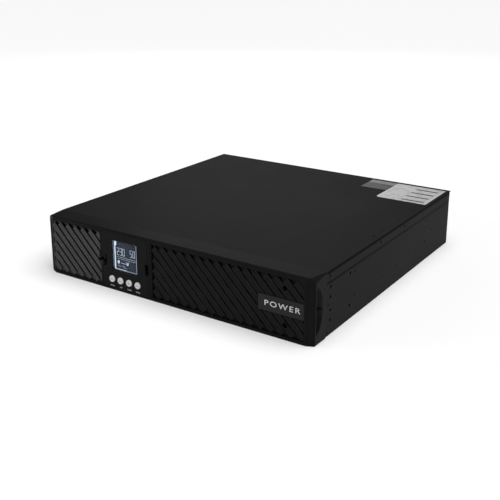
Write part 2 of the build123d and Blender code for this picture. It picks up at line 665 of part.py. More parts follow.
def battery_strap():
    """Steel hold-down strip across the batteries, hooked over the tray sides."""
    x0, x1 = TRAY_X
    y = battery_places()[2][1] - 0.4
    top = battery_places()[0][2] + BATTERY[2] + 0.1
    strap = block(x0 - 1.1, x1 + 0.9, y - 10, y + 10, top, top + 1)
    for low, high in ((x0 - 1.1, x0 - 0.1), (x1 + 0.1, x1 + 0.9)):
        strap += block(low, high, y - 10, y + 10, TRAY_FLOOR + 6, top + 1)
    return strap


def tray_plug():
    """Plug half of the blind-mating battery connector, at the back of the tray."""
    y0 = TRAY_Y[1]
    plug = block(62, 88, y0, y0 + 8, 28, 56)
    plug += block(66, 84, y0 + 8, y0 + 20, 32, 52)
    return plug + block(62, 88, y0 - 6, y0, TRAY_FLOOR + TRAY_WALL_HEIGHT + 0.1, 56)


def bay_socket():
    """Socket half, on the rear wall of the battery bay."""
    y0 = PARTITION_END - 7.5
    socket = block(60.2, 89.8, y0, PARTITION_END + 14, 26.2, 57.8)
    socket -= block(65.7, 84.3, y0 - 1, y0 + 14, 31.7, 52.3)
    return socket


# ================================================================ electronics

def main_board():
    x0, x1 = BOARD_X
    y0, y1 = BOARD_Y
    board = block(x0, x1, y0, y1, BOARD_Z, BOARD_TOP)
    for x, y in standoff_places():
        board -= rod_z(x, y, 1.7, BOARD_Z - 1, BOARD_TOP + 1)
    return board


def standoff_places():
    x0, x1 = BOARD_X
    y0, y1 = BOARD_Y
    return [(x, y) for x in (x0 + 6, x1 - 6) for y in (y0 + 6, (y0 + y1) / 2, y1 - 6)]


def board_standoffs():
    """Pressed studs and screws that hold the main board."""
    studs = []
    for x, y in standoff_places():
        stud = rod_z(x, y, 3.2, PAN_SHEET, BOARD_Z)
        stud += rod_z(x, y, 1.5, BOARD_Z, BOARD_TOP)
        stud += rod_z(x, y, 3.0, BOARD_TOP, BOARD_TOP + 2)
        studs.append(stud)
    return merged(studs)


def heatsink(x0, x1, y0, y1):
    """Upright plate with level fins on its left face."""
    sink = block(x1 - 5, x1, y0, y1, BOARD_TOP, 76)
    z = BOARD_TOP + 2
    while z < 75:
        sink += block(x0, x1 - 4.9, y0, y1, z, z + FIN_THICKNESS)
        z += FIN_PITCH
    return sink


def power_transistors():
    """Transistors bolted to the two heat sinks."""
    bodies = []
    for x in (-164.0, -84.0):
        for i in range(6):
            y = -120 + 30 * i
            package = block(x, x + 5, y - 8, y + 8, BOARD_TOP + 8, BOARD_TOP + 29)
            bodies.append(package)
    return merged(bodies)


def bulk_capacitors():
    """Electrolytic capacitors of the direct-current link."""
    return merged([rod_z(-140 + 34 * i, y, 15, BOARD_TOP, BOARD_TOP + 50)
                   for i in range(2) for y in (88, 122)])


def choke_coils():
    """Two upright toroidal chokes."""
    rings = []
    for y in (-60.0, 0.0):
        ring = rod_x(y, 42, 24, -141, -119) - rod_x(y, 42, 10.5, -142, -118)
        foot = block(-142, -118, y - 15, y + 15, BOARD_TOP, 15) - rod_x(y, 42, 24.2, -143, -117)
        rings.append(ring)
        rings.append(foot)
    return merged(rings)


def transformer():
    """High-frequency transformer: ferrite core round a winding."""
    core = block(-148, -112, -142, -100, BOARD_TOP, BOARD_TOP + 40)
    core -= block(-142, -118, -143, -99, BOARD_TOP + 6, BOARD_TOP + 34)
    winding = block(-141.5, -118.5, -146, -96, BOARD_TOP + 6.3, BOARD_TOP + 33.7)
    return merged([core, winding])


def relays():
    """Transfer relays near the rear sockets."""
    return merged([block(-66, -48, y, y + 28, BOARD_TOP, BOARD_TOP + 20) for y in (60, 94, 128)])


def control_card():
    """Upright control card with its edge connector."""
    card = block(-46, -44.4, -150, 40, BOARD_TOP + 4, 78)
    connector = block(-48.5, -41.9, -140, -60, BOARD_TOP, BOARD_TOP + 4)
    chip = block(-49, -46, -100, -70, 40, 70)
    return merged([card, connector, chip])


# ================================================================ rear

def outlet_hole(x, z):
    return rounded_block(x - 13.5, x + 13.5, REAR_INNER - 1, REAR_FACE + 1, z - 10.5, z + 10.5, 2)


def rear_panel():
    """Rear sheet with the cut-outs for every fitting."""
    x1 = PAN_SIDE - 0.1
    panel = block(-x1, x1, REAR_INNER, REAR_FACE, 0.1, LID_TOP - LID_SHEET - 0.1)
    for x in FANS_X:
        panel -= rod_y(x, FAN_Z, FAN_BORE, REAR_INNER - 1, REAR_FACE + 1)
        for dx in (-1, 1):
            for dz in (-1, 1):
                panel -= rod_y(x + dx * FAN_HOLE_SPAN / 2, FAN_Z + dz * FAN_HOLE_SPAN / 2, 2.2,
                               REAR_INNER - 1, REAR_FACE + 1)
    for z in OUTLETS_Z:
        for x in OUTLETS_X:
            panel -= outlet_hole(x, z)
    for x0, x1, z0, z1 in (INLET_CUT, SLOT_CUT, SERIAL_CUT, USB_CUT, NETWORK_CUT, EPO_CUT, BATTERY_CUT):
        panel -= block(x0, x1, REAR_INNER - 1, REAR_FACE + 1, z0, z1)
    panel -= rod_y(BREAKER_X, BREAKER_Z, 6.6, REAR_INNER - 1, REAR_FACE + 1)
    panel -= rod_y(EARTH_X, EARTH_Z, 2.2, REAR_INNER - 1, REAR_FACE + 1)
    return panel


def fitting_body(cut, depth, flange=2.0, proud=1.5):
    """Plain body that fills a cut-out, with a flange outside the panel."""
    x0, x1, z0, z1 = cut
    gap = 0.1
    body = block(x0 + gap, x1 - gap, REAR_FACE - depth, REAR_FACE, z0 + gap, z1 - gap)
    return body + block(x0 - flange, x1 + flange, REAR_FACE, REAR_FACE + proud, z0 - flange, z1 + flange)


def fan_frame(x):
    """Square fan frame with its motor seat and four struts."""
    y1 = REAR_INNER
    y0 = y1 - FAN_DEPTH
    half = FAN_SIZE / 2
    frame = rounded_block(x - half, x + half, y0, y1, FAN_Z - half, FAN_Z + half, 3)
    frame -= rod_y(x, FAN_Z, FAN_BORE, y0 - 1, y1 + 1)
    seat = rod_y(x, FAN_Z, HUB_RADIUS, y0, y0 + 4)
    for angle in (0, 90):
        strut = Pos(x, y0 + 1.5, FAN_Z) * Rot(0, 45 + angle, 0) * Box(2 * FAN_BORE + 2, 3, 4)
        seat += strut
    frame += seat
    frame += tube_y(x, FAN_Z, 4.0, AXLE_RADIUS + AXLE_GAP, y0, y0 + 14)
    frame -= rod_y(x, FAN_Z, AXLE_RADIUS + AXLE_GAP, y0 - 1, y0 + 15)
    for dx in (-1, 1):
        for dz in (-1, 1):
            frame -= rod_y(x + dx * FAN_HOLE_SPAN / 2, FAN_Z + dz * FAN_HOLE_SPAN / 2, 2.1, y0 - 1, y1 + 1)
    return frame


def fan_rotor(x):
    """Hub cup, axle and twisted blades."""
    y0 = REAR_INNER - FAN_DEPTH
    hub = rod_y(x, FAN_Z, HUB_RADIUS, y0 + 4.6, y0 + 22)
    hub -= rod_y(x, FAN_Z, HUB_RADIUS - 2, y0 + 4, y0 + 20)
    hub += rod_y(x, FAN_Z, AXLE_RADIUS, y0 + 1, y0 + 20.5)
    for i in range(BLADES):
        turn = 360 / BLADES * i
        blade = Pos((HUB_RADIUS + ROTOR_RADIUS) / 2 - 0.5, 0, 0) * Rot(38, 0, 0)
        blade = blade * Box(ROTOR_RADIUS - HUB_RADIUS + 1, 1.4, 19)
        blade = Pos(x, y0 + 13.3, FAN_Z) * Rot(0, turn, 0) * blade
        hub += blade
    limit = rod_y(x, FAN_Z, ROTOR_RADIUS, y0 + 4.6, y0 + 22)
    return hub & (limit + rod_y(x, FAN_Z, 3, y0, y0 + 22))


def fan_guards():
    """Wire guards: rings on crossed stays outside the rear panel."""
    guards = []
    y0 = REAR_FACE
    for x in FANS_X:
        guard = None
        for radius in (8.0, 16.0, 24.0, 32.0, 38.5):
            ring = Pos(x, y0 + 1.1, FAN_Z) * Rot(90, 0, 0) * Torus(radius, 1.0)
            guard = ring if guard is None else guard + ring
        for angle in (45, 135):
            stay = Pos(x, y0 + 1.9, FAN_Z) * Rot(0, angle, 0) * Rot(0, 90, 0) * Cylinder(1.0, STAY_LENGTH)
            guard += stay
        for dx in (-1, 1):
            for dz in (-1, 1):
                cx, cz = x + dx * FAN_HOLE_SPAN / 2, FAN_Z + dz * FAN_HOLE_SPAN / 2
                guard += rod_y(cx, cz, 3.4, y0, y0 + 2.2)
                guard -= rod_y(cx, cz, 2.2, y0 - 1, y0 + 4)
        guards.extend(guard.solids())
    return Compound(children=guards)


def screw_y(x, z, y0, length, head=2.9, shank=2.0):
    """Panel screw seen from behind: head outside, shank inwards."""
    screw = rod_y(x, z, head, y0, y0 + 0.8)
    screw += rod_y(x, z, shank, y0 - length, y0)
    return screw - Pos(x, y0 + 0.8, z) * Box(3.6, 0.8, 0.8) - Pos(x, y0 + 0.8, z) * Box(0.8, 0.8, 3.6)


def rear_screws():
    """Screws of the fans, the accessory-slot cover and the panel."""
    screws = []
    for x in FANS_X:
        for dx in (-1, 1):
            for dz in (-1, 1):
                screws.append(screw_y(x + dx * FAN_HOLE_SPAN / 2, FAN_Z + dz * FAN_HOLE_SPAN / 2,
                                      REAR_FACE + 2.2, 12))
    for x in (SLOT_CUT[0] - 3.0, SLOT_CUT[1] + 3.0):
        screws.append(rod_y(x, 65, 2.6, REAR_FACE + 1.2, REAR_FACE + 2.2))
    return merged(screws)


def outlet(x, z):
    """One shrouded outlet: a centre block with three slots inside a shell."""
    gap = 0.1
    y1 = REAR_FACE + 1.5
    shell = rounded_block(x - 13.5 + gap, x + 13.5 - gap, REAR_FACE - 24, REAR_FACE, z - 10.4, z + 10.4, 2)
    shell += block(x - OUTLET_WIDTH / 2 + 0.1, x + OUTLET_WIDTH / 2 - 0.1, REAR_FACE, y1,
                   z - OUTLET_HEIGHT / 2, z + OUTLET_HEIGHT / 2)
    shell -= rounded_block(x - 12.0, x + 12.0, REAR_FACE - 18, y1 + 1, z - 8.2, z + 8.2, 2)
    shell += rounded_block(x - 9.2, x + 9.2, REAR_FACE - 18.5, y1 - 0.5, z - 5.4, z + 5.4, 1)
    for dx, dz in ((-7, -1.4), (7, -1.4), (0, 2.2)):
        shell -= block(x + dx - 1.2, x + dx + 1.2, REAR_FACE - 16, y1 + 1, z + dz - 2.4, z + dz + 2.4)
    return shell


def outlet_block(z):
    """Row of four outlets in one moulding."""
    moulding = outlet(OUTLETS_X[0], z)
    for x in OUTLETS_X[1:]:
        moulding += outlet(x, z)
        moulding += block(x - OUTLET_WIDTH / 2 - 0.3, x - OUTLET_WIDTH / 2 + 0.3, REAR_FACE, REAR_FACE + 1.5,
                          z - OUTLET_HEIGHT / 2, z + OUTLET_HEIGHT / 2)
    return moulding


def mains_inlet():
    """Deep inlet with three flat pins and two fixing ears."""
    inlet = fitting_body(INLET_CUT, 26, flange=1.5)
    inlet += block(INLET_X - 25, INLET_X + 25, REAR_FACE, REAR_FACE + 1.5, INLET_Z - 7, INLET_Z + 7)
    inlet -= rounded_block(INLET_X - 14.5, INLET_X + 14.5, REAR_FACE - 20, REAR_FACE + 3,
                           INLET_Z - 10, INLET_Z + 10, 2)
    for x in (INLET_X - 21, INLET_X + 21):
        inlet -= rod_y(x, INLET_Z, 1.8, REAR_FACE - 1, REAR_FACE + 3)
    for dx, dz in ((-6.5, 4.5), (6.5, 4.5), (0, -1.5)):
        inlet += block(INLET_X + dx - 3.5, INLET_X + dx + 3.5, REAR_FACE - 21, REAR_FACE - 4,
                       INLET_Z + dz - 1, INLET_Z + dz + 1)
    return inlet


def breaker_body():
    """Threaded collar and body of the resettable breaker."""
    body = rod_y(BREAKER_X, BREAKER_Z, 6.5, REAR_INNER - 4, REAR_FACE)
    nut = extrude(RegularPolygon(8.5, 6), 0.6, both=True)
    body += Pos(BREAKER_X, REAR_FACE + 0.6, BREAKER_Z) * Rot(90, 0, 0) * nut
    body += block(BREAKER_X - 9, BREAKER_X + 9, REAR_INNER - 30, REAR_INNER - 4,
                  BREAKER_Z - 14, BREAKER_Z + 14)
    return body - rod_y(BREAKER_X, BREAKER_Z, BREAKER_RADIUS + BREAKER_GAP, REAR_INNER - 14, REAR_FACE + 3)


def breaker_button():
    cap = rod_y(BREAKER_X, BREAKER_Z, BREAKER_RADIUS, REAR_INNER - 12, REAR_FACE + REAR_PROUD)
    return fillet(cap.edges().group_by(Axis.Y)[-1], 0.8)


def slot_cover():
    """Plate over the accessory-card slot."""
    x0, x1, z0, z1 = SLOT_CUT
    plate = block(x0 - 6, x1 + 6, REAR_FACE, REAR_FACE + 1.2, z0 - 3, z1 + 3)
    plate += block(x0 + 0.2, x1 - 0.2, REAR_FACE - 1.2, REAR_FACE, z0 + 0.2, z1 - 0.2)
    return plate


def serial_port():
    """Nine-way socket: metal flange, D-shaped shell, insulator with holes."""
    x0, x1, z0, z1 = SERIAL_CUT
    x, z = (x0 + x1) / 2, (z0 + z1) / 2
    port = block(x0 + 0.1, x1 - 0.1, REAR_FACE - 10, REAR_FACE, z0 + 0.1, z1 - 0.1)
    port += block(x - 15.4, x + 15.4, REAR_FACE, REAR_FACE + 0.8, z - 6.2, z + 6.2)
    outline = Polyline((-8.4, 3.9), (8.4, 3.9), (7.2, -3.9), (-7.2, -3.9), close=True)
    port += slab_y(Pos(x, z) * make_face(outline), REAR_FACE, REAR_FACE + REAR_PROUD - 0.2)
    for i in range(5):
        port -= rod_y(x - 5.5 + 2.75 * i, z + 1.4, 0.55, REAR_FACE - 4, REAR_FACE + 4)
    for i in range(4):
        port -= rod_y(x - 4.1 + 2.75 * i, z - 1.4, 0.55, REAR_FACE - 4, REAR_FACE + 4)
    jackscrew = extrude(RegularPolygon(2.6, 6), 0.9, both=True)
    for dx in (-12.5, 12.5):
        port += Pos(x + dx, REAR_FACE + 1.6, z) * Rot(90, 0, 0) * jackscrew
    return port


def usb_port():
    port = fitting_body(USB_CUT, 14, flange=0.8, proud=1.0)
    x, z = (USB_CUT[0] + USB_CUT[1]) / 2, (USB_CUT[2] + USB_CUT[3]) / 2
    port -= block(x - 4.3, x + 4.3, REAR_FACE - 9, REAR_FACE + 2, z - 4.0, z + 4.0)
    return port + block(x - 2.8, x + 2.8, REAR_FACE - 9.5, REAR_FACE - 0.5, z - 1.6, z + 1.6)


def network_ports():
    """Pair of surge-protected network sockets."""
    port = fitting_body(NETWORK_CUT, 18, flange=0.8, proud=1.0)
    for x0, x1, z0, z1 in NETWORK_MOUTHS:
        port -= block(x0, x1, REAR_FACE - 12, REAR_FACE + 2, z0, z1)
        port -= block((x0 + x1) / 2 - 3, (x0 + x1) / 2 + 3, REAR_FACE - 12, REAR_FACE + 2, z0 - 2, z0 + 0.1)
    return port


def epo_terminal():
    """Two-way plug-in terminal for the emergency-off loop."""
    port = fitting_body(EPO_CUT, 12, flange=0.6, proud=1.0)
    x, z = (EPO_CUT[0] + EPO_CUT[1]) / 2, (EPO_CUT[2] + EPO_CUT[3]) / 2
    port -= block(x - 4.8, x + 4.8, REAR_FACE - 7, REAR_FACE + 2, z - 3.4, z + 3.4)
    for dx in (-2.5, 2.5):
        port += block(x + dx - 0.5, x + dx + 0.5, REAR_FACE - 8, REAR_FACE - 1, z - 0.5, z + 0.5)
    return port


def external_battery_socket():
    """Two-pole connector for an external battery case."""
    port = fitting_body(BATTERY_CUT, 22, flange=1.6, proud=1.5)
    z = (BATTERY_CUT[2] + BATTERY_CUT[3]) / 2
    for x in (BATTERY_CUT[0] + 7, BATTERY_CUT[1] - 7):
        port -= block(x - 4.2, x + 4.2, REAR_FACE - 16, REAR_FACE + 3, z - 5.4, z + 5.4)
        port += block(x - 1.2, x + 1.2, REAR_FACE - 17, REAR_FACE - 2, z - 4.0, z + 4.0)
    return port


def earth_stud():
    stud = rod_y(EARTH_X, EARTH_Z, 2.1, REAR_INNER - 6, REAR_FACE + 2.8)
    nut = extrude(RegularPolygon(4, 6), 1.0, both=True)
    return stud + Pos(EARTH_X, REAR_FACE + 1.0, EARTH_Z) * Rot(90, 0, 0) * nut


def main():
    shell = bezel_shell()
    parts = {
        "base_pan": base_pan(), "top_cover": top_cover(), "flange_screws": flange_screws(),
        "lid_labels": lid_labels(), "bezel_frame": bezel_frame(shell), "left_grille": left_grille(),
        "front_cover": front_cover(shell), "right_grille": right_grille(), "name_plate": name_plate(),
        "cover_screws": cover_screws(), "cover_bracket": cover_bracket(),
        "display_shell": display_shell(), "display_window": display_window(), "lcd_module": lcd_module(),
        "display_board": display_board(), "display_back": display_back(), "display_cradle": display_cradle(),
        "battery_partition": battery_partition(), "battery_tray": battery_tray(),
        "tray_handle": tray_handle(), "battery_links": battery_links(),
        "battery_strap": battery_strap(), "tray_plug": tray_plug(),
        "bay_socket": bay_socket(), "main_board": main_board(), "board_standoffs": board_standoffs(),
        "rectifier_heatsink": heatsink(-206, -164, -140, 60),
        "inverter_heatsink": heatsink(-112, -84, -140, 60),
        "power_transistors": power_transistors(), "bulk_capacitors": bulk_capacitors(),
        "choke_coils": choke_coils(), "transformer": transformer(), "relays": relays(),
        "control_card": control_card(), "rear_panel": rear_panel(), "fan_guards": fan_guards(),
        "rear_screws": rear_screws(), "outlet_blocks": merged([outlet_block(z) for z in OUTLETS_Z]),
        "mains_inlet": mains_inlet(),
        "breaker_body": breaker_body(), "breaker_button": breaker_button(), "slot_cover": slot_cover(),
        "serial_port": serial_port(), "usb_port": usb_port(), "network_ports": network_ports(),
        "epo_terminal": epo_terminal(), "external_battery_socket": external_battery_socket(),
        "earth_stud": earth_stud(),
    }
    for name, x in zip(BUTTON_NAMES, BUTTONS_X):
        parts["button_" + name] = key(x)
    for number, place in enumerate(battery_places(), 1):
        parts["battery_%d" % number] = battery(place)
    for number, x in enumerate(FANS_X, 1):
        parts["fan_%d_frame" % number] = fan_frame(x)
        parts["fan_%d_rotor" % number] = fan_rotor(x)
    os.makedirs("parts", exist_ok=True)
    for name, shape in parts.items():
        export_step(shape, "parts/" + name + ".step")


main()
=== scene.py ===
import json
import math

import bpy
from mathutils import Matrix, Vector


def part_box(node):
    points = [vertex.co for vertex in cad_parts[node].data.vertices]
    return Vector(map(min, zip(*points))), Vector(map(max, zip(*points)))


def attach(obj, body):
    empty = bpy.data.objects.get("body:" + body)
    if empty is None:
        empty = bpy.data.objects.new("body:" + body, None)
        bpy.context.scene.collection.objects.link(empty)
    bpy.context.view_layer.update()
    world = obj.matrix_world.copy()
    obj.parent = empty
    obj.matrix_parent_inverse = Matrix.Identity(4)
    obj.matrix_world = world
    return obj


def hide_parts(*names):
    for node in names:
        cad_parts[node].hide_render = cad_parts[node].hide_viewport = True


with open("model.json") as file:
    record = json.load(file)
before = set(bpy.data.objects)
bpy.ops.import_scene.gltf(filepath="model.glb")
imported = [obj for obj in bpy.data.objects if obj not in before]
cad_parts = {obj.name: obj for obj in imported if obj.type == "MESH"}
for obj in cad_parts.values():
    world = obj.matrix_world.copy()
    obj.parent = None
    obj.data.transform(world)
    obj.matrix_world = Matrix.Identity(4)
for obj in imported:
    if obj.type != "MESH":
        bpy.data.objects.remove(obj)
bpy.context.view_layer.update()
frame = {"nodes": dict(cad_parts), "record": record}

# Rack and tower uninterruptible power supply. Lengths are in millimetres, turned to
# metres by MM where a piece is made. The front faces -Y and +X is to its right.
MM = 0.001
NODES = frame["nodes"]
scene = bpy.context.scene


def span(node):
    """Lowest and highest corner of a frame node, in millimetres."""
    low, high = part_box(node)
    return low / MM, high / MM


BEZEL_LOW, BEZEL_HIGH = span("bezel_frame")
LID_LOW, LID_HIGH = span("top_cover")
PAN_LOW, PAN_HIGH = span("base_pan")
PANEL_LOW, PANEL_HIGH = span("display_shell")
FRONT = BEZEL_LOW.y                 # face of the bezel
SIDE = LID_HIGH.x
REAR = LID_HIGH.y


# ---------------------------------------------------------------- camera and light

CAMERA_PLACE = (0.6391, -0.9834, 0.4512)        # metres
CAMERA_DOWN, CAMERA_TURN = 16.430, 33.635       # degrees
SURROUND_GLOW = 0.07                # how strongly the white surround lights the object
# Area lights: place, target and sides in metres, then watts.
LIGHT_PANELS = {
    "left_panel": ((-1.5, -1.3, 0.7), (0, -0.15, 0.04), (0.8, 0.8), 5.0),
    "right_panel": ((1.6, -0.6, 0.8), (0.1, 0, 0.05), (0.7, 1.2), 1.0),
    "back_panel": ((-1.3, 2.0, 1.0), (0, 0, 0.08), (1.2, 0.6), 3.5),
}


def set_camera():
    data = bpy.data.cameras.new("camera")
    camera = bpy.data.objects.new("camera", data)
    scene.collection.objects.link(camera)
    data.lens = 58.854
    data.sensor_width = 36.0
    data.shift_y = -0.12
    data.clip_end = 100.0
    camera.location = CAMERA_PLACE
    camera.rotation_euler = (math.radians(90 - CAMERA_DOWN), 0, math.radians(CAMERA_TURN))
    scene.camera = camera


def hang_light(name, kind, power):
    lamp = bpy.data.objects.new(name, bpy.data.lights.new(name, kind))
    lamp.data.energy = power
    scene.collection.objects.link(lamp)
    return lamp


def set_studio():
    """White surround that lights little by itself, a broad soft overhead light and three panels."""
    scene.world = bpy.data.worlds.new("studio")
    scene.world.use_nodes = True
    tree = scene.world.node_tree
    background = tree.nodes["Background"]
    background.inputs["Color"].default_value = (1.0, 1.0, 1.0, 1)
    path = tree.nodes.new("ShaderNodeLightPath")
    level = tree.nodes.new("ShaderNodeMapRange")
    level.inputs["To Min"].default_value = SURROUND_GLOW
    level.inputs["To Max"].default_value = 1.0
    tree.links.new(path.outputs["Is Camera Ray"], level.inputs["Value"])
    tree.links.new(level.outputs["Result"], background.inputs["Strength"])
    scene.view_settings.view_transform = "Standard"
    overhead = hang_light("overhead", "SUN", 3.05)
    overhead.data.angle = math.radians(70)
    overhead.rotation_euler = (math.radians(4), math.radians(18), 0)
    for name, (place, target, sides, power) in LIGHT_PANELS.items():
        panel = hang_light(name, "AREA", power)
        panel.data.shape = "RECTANGLE"
        panel.data.size, panel.data.size_y = sides
        panel.location = place
        panel.rotation_euler = (Vector(target) - Vector(place)).to_track_quat("-Z", "Y").to_euler()


set_camera()
set_studio()


# ---------------------------------------------------------------- shader groups

COLOUR, NUMBER, VECTOR = "NodeSocketColor", "NodeSocketFloat", "NodeSocketVector"
SPECK_SCALE, SPECK_LEVEL, SPECK_COLOUR = 1150.0, 0.70, (0.35, 0.35, 0.36, 1)
ROUGHNESS_DRIFT = 0.16              # swing of roughness from patch to patch
LINE_DARK, LINE_PALE = (0.12, 0.12, 0.13, 1), (0.75, 0.76, 0.78, 1)
GAP_EDGE = 0.35                     # width over which a louvre bar turns to its gap
WALL_FOOT = 2.0                     # inner walls get painted shade above this height
SCOOP_DIM = 0.45                    # shade of a finger scoop's lower half
ROW_STEP = 17.3                     # keeps the breaks of one printed row apart from the next


def new_group(name, inputs, outputs):
    """Empty shader group and its sockets. inputs: (name, kind, start value); outputs: (name, kind)."""
    tree = bpy.data.node_groups.new(name, "ShaderNodeTree")
    for label, kind, value in inputs:
        tree.interface.new_socket(name=label, in_out="INPUT", socket_type=kind).default_value = value
    for label, kind in outputs:
        tree.interface.new_socket(name=label, in_out="OUTPUT", socket_type=kind)
    return tree, tree.nodes.new("NodeGroupInput").outputs, tree.nodes.new("NodeGroupOutput").inputs


def feed(tree, socket, value):
    """Links a node's output to the socket, or sets a plain value on it."""
    if isinstance(value, bpy.types.NodeSocket):
        tree.links.new(value, socket)
    else:
        socket.default_value = value


def math_node(tree, operation, a, b=None, clamp=False):
    made = tree.nodes.new("ShaderNodeMath")
    made.operation = operation
    made.use_clamp = clamp
    feed(tree, made.inputs[0], a)
    if b is not None:
        feed(tree, made.inputs[1], b)
    return made.outputs[0]


def plus(tree, a, b, clamp=False):
    return math_node(tree, "ADD", a, b, clamp)


def minus(tree, a, b, clamp=False):
    return math_node(tree, "SUBTRACT", a, b, clamp)


def times(tree, a, b, clamp=False):
    return math_node(tree, "MULTIPLY", a, b, clamp)


def below(tree, a, b):
    return math_node(tree, "LESS_THAN", a, b)


def above(tree, a, b):
    return math_node(tree, "GREATER_THAN", a, b)


def vector_math(tree, operation, a, b):
    made = tree.nodes.new("ShaderNodeVectorMath")
    made.operation = operation
    tree.links.new(a, made.inputs[0])
    tree.links.new(b, made.inputs[1])
    return made.outputs[0]


def split_axes(tree, vector):
    split = tree.nodes.new("ShaderNodeSeparateXYZ")
    tree.links.new(vector, split.inputs[0])
    return split.outputs


def object_place(tree):
    return tree.nodes.new("ShaderNodeTexCoord").outputs["Object"]


def mix_colour(tree, factor, a, b):
    made = tree.nodes.new("ShaderNodeMix")
    made.data_type = "RGBA"
    for number, value in ((0, factor), (6, a), (7, b)):
        feed(tree, made.inputs[number], value)
    return made.outputs[2]


def noise(tree, vector, scale, detail=2.0, rough=0.5):
    made = tree.nodes.new("ShaderNodeTexNoise")
    made.inputs["Detail"].default_value = detail
    made.inputs["Roughness"].default_value = rough
    tree.links.new(vector, made.inputs["Vector"])
    feed(tree, made.inputs["Scale"], scale)
    return made.outputs["Fac"]


def surface_group(name, cellular):
    """Coat or moulding: a fine grain, broad patches and a few pale specks."""
    tree, given, out = new_group(name, (
        ("Colour", COLOUR, (0.02, 0.02, 0.02, 1)), ("Patch Colour", COLOUR, (0.03, 0.03, 0.03, 1)),
        ("Grain Scale", NUMBER, 1800.0), ("Patch Scale", NUMBER, 9.0), ("Specks", NUMBER, 0.1),
        ("Roughness", NUMBER, 0.5), ("Roughness Spread", NUMBER, 0.12)),
        (("Colour", COLOUR), ("Roughness", NUMBER), ("Height", NUMBER)))
    place = object_place(tree)
    patches = noise(tree, place, given["Patch Scale"], 4.0, 0.6)
    base = mix_colour(tree, patches, given["Colour"], given["Patch Colour"])
    if cellular:
        cells = tree.nodes.new("ShaderNodeTexVoronoi")
        tree.links.new(place, cells.inputs["Vector"])
        tree.links.new(given["Grain Scale"], cells.inputs["Scale"])
        grain = minus(tree, 1.0, cells.outputs["Distance"], True)
    else:
        grain = noise(tree, place, given["Grain Scale"], 3.0, 0.65)
    speck = above(tree, noise(tree, place, SPECK_SCALE, 1.0), SPECK_LEVEL)
    pale = mix_colour(tree, times(tree, speck, given["Specks"]), base, SPECK_COLOUR)
    swing = times(tree, minus(tree, grain, 0.5), given["Roughness Spread"])
    rough = plus(tree, given["Roughness"], swing)
    drift = times(tree, minus(tree, patches, 0.5), ROUGHNESS_DRIFT)
    tree.links.new(pale, out["Colour"])
    tree.links.new(plus(tree, rough, drift, True), out["Roughness"])
    tree.links.new(grain, out["Height"])
    return tree


def brushed_group():
    """Drawn or rolled metal: long fine lines along one axis."""
    tree, given, out = new_group("rolled_metal", (
        ("Colour", COLOUR, (0.5, 0.5, 0.5, 1)), ("Stretch", VECTOR, (40.0, 1200.0, 1200.0)),
        ("Roughness", NUMBER, 0.35), ("Spread", NUMBER, 0.25)),
        (("Colour", COLOUR), ("Roughness", NUMBER), ("Height", NUMBER)))
    place = object_place(tree)
    lines = noise(tree, vector_math(tree, "MULTIPLY", place, given["Stretch"]), 1.0, 3.0, 0.6)
    cloud = noise(tree, place, 35.0, 3.0, 0.6)
    shade = mix_colour(tree, times(tree, lines, 0.5), given["Colour"], LINE_DARK)
    shade = mix_colour(tree, times(tree, cloud, 0.3), shade, LINE_PALE)
    swing = times(tree, minus(tree, lines, 0.5), given["Spread"])
    tree.links.new(shade, out["Colour"])
    tree.links.new(plus(tree, given["Roughness"], swing, True), out["Roughness"])
    tree.links.new(lines, out["Height"])
    return tree


def bar_highlight_group():
    """Painted highlights along the edges of the louvre bars, which run along x + z, broken up by noise, and
    painted shade in the gaps between.
    """
    tree, given, out = new_group("bar_edge_highlights", (
        ("Start", NUMBER, 0.0), ("Pitch", NUMBER, 14.6 * MM), ("Half Width", NUMBER, 5.8 * MM),
        ("Line", NUMBER, 0.7 * MM), ("Highlight Break Scale", NUMBER, 60.0)), (("Mask", NUMBER), ("Gap Shade", NUMBER)))
    place = object_place(tree)
    axes = split_axes(tree, place)
    along = minus(tree, plus(tree, axes["X"], axes["Z"]), given["Start"])
    turns = math_node(tree, "DIVIDE", along, given["Pitch"])
    turns = minus(tree, turns, math_node(tree, "ROUND", turns))
    off = math_node(tree, "ABSOLUTE", times(tree, turns, given["Pitch"]))
    beyond = minus(tree, off, given["Half Width"])
    away = math_node(tree, "DIVIDE", math_node(tree, "ABSOLUTE", beyond), given["Line"])
    near = minus(tree, 1.0, away, True)
    highlight_breaks = noise(tree, place, given["Highlight Break Scale"], 3.0, 0.6)
    highlight_breaks = times(tree, minus(tree, highlight_breaks, 0.32), 2.6, True)
    tree.links.new(times(tree, near, highlight_breaks), out["Mask"])
    tree.links.new(math_node(tree, "DIVIDE", beyond, GAP_EDGE * MM, True), out["Gap Shade"])
    return tree


def dust_group():
    """Thin dust on faces that look up, broken by a soft cloud."""
    tree, given, out = new_group("settled_dust", (
        ("Amount", NUMBER, 0.1), ("Cloud Scale", NUMBER, 16.0)), (("Mask", NUMBER),))
    place = tree.nodes.new("ShaderNodeTexCoord")
    up = math_node(tree, "MAXIMUM", split_axes(tree, place.outputs["Normal"])["Z"], 0.0)
    cloud = noise(tree, place.outputs["Object"], given["Cloud Scale"], 5.0, 0.62)
    cloud = times(tree, minus(tree, cloud, 0.35), 2.2, True)
    tree.links.new(times(tree, times(tree, up, cloud), given["Amount"]), out["Mask"])
    return tree


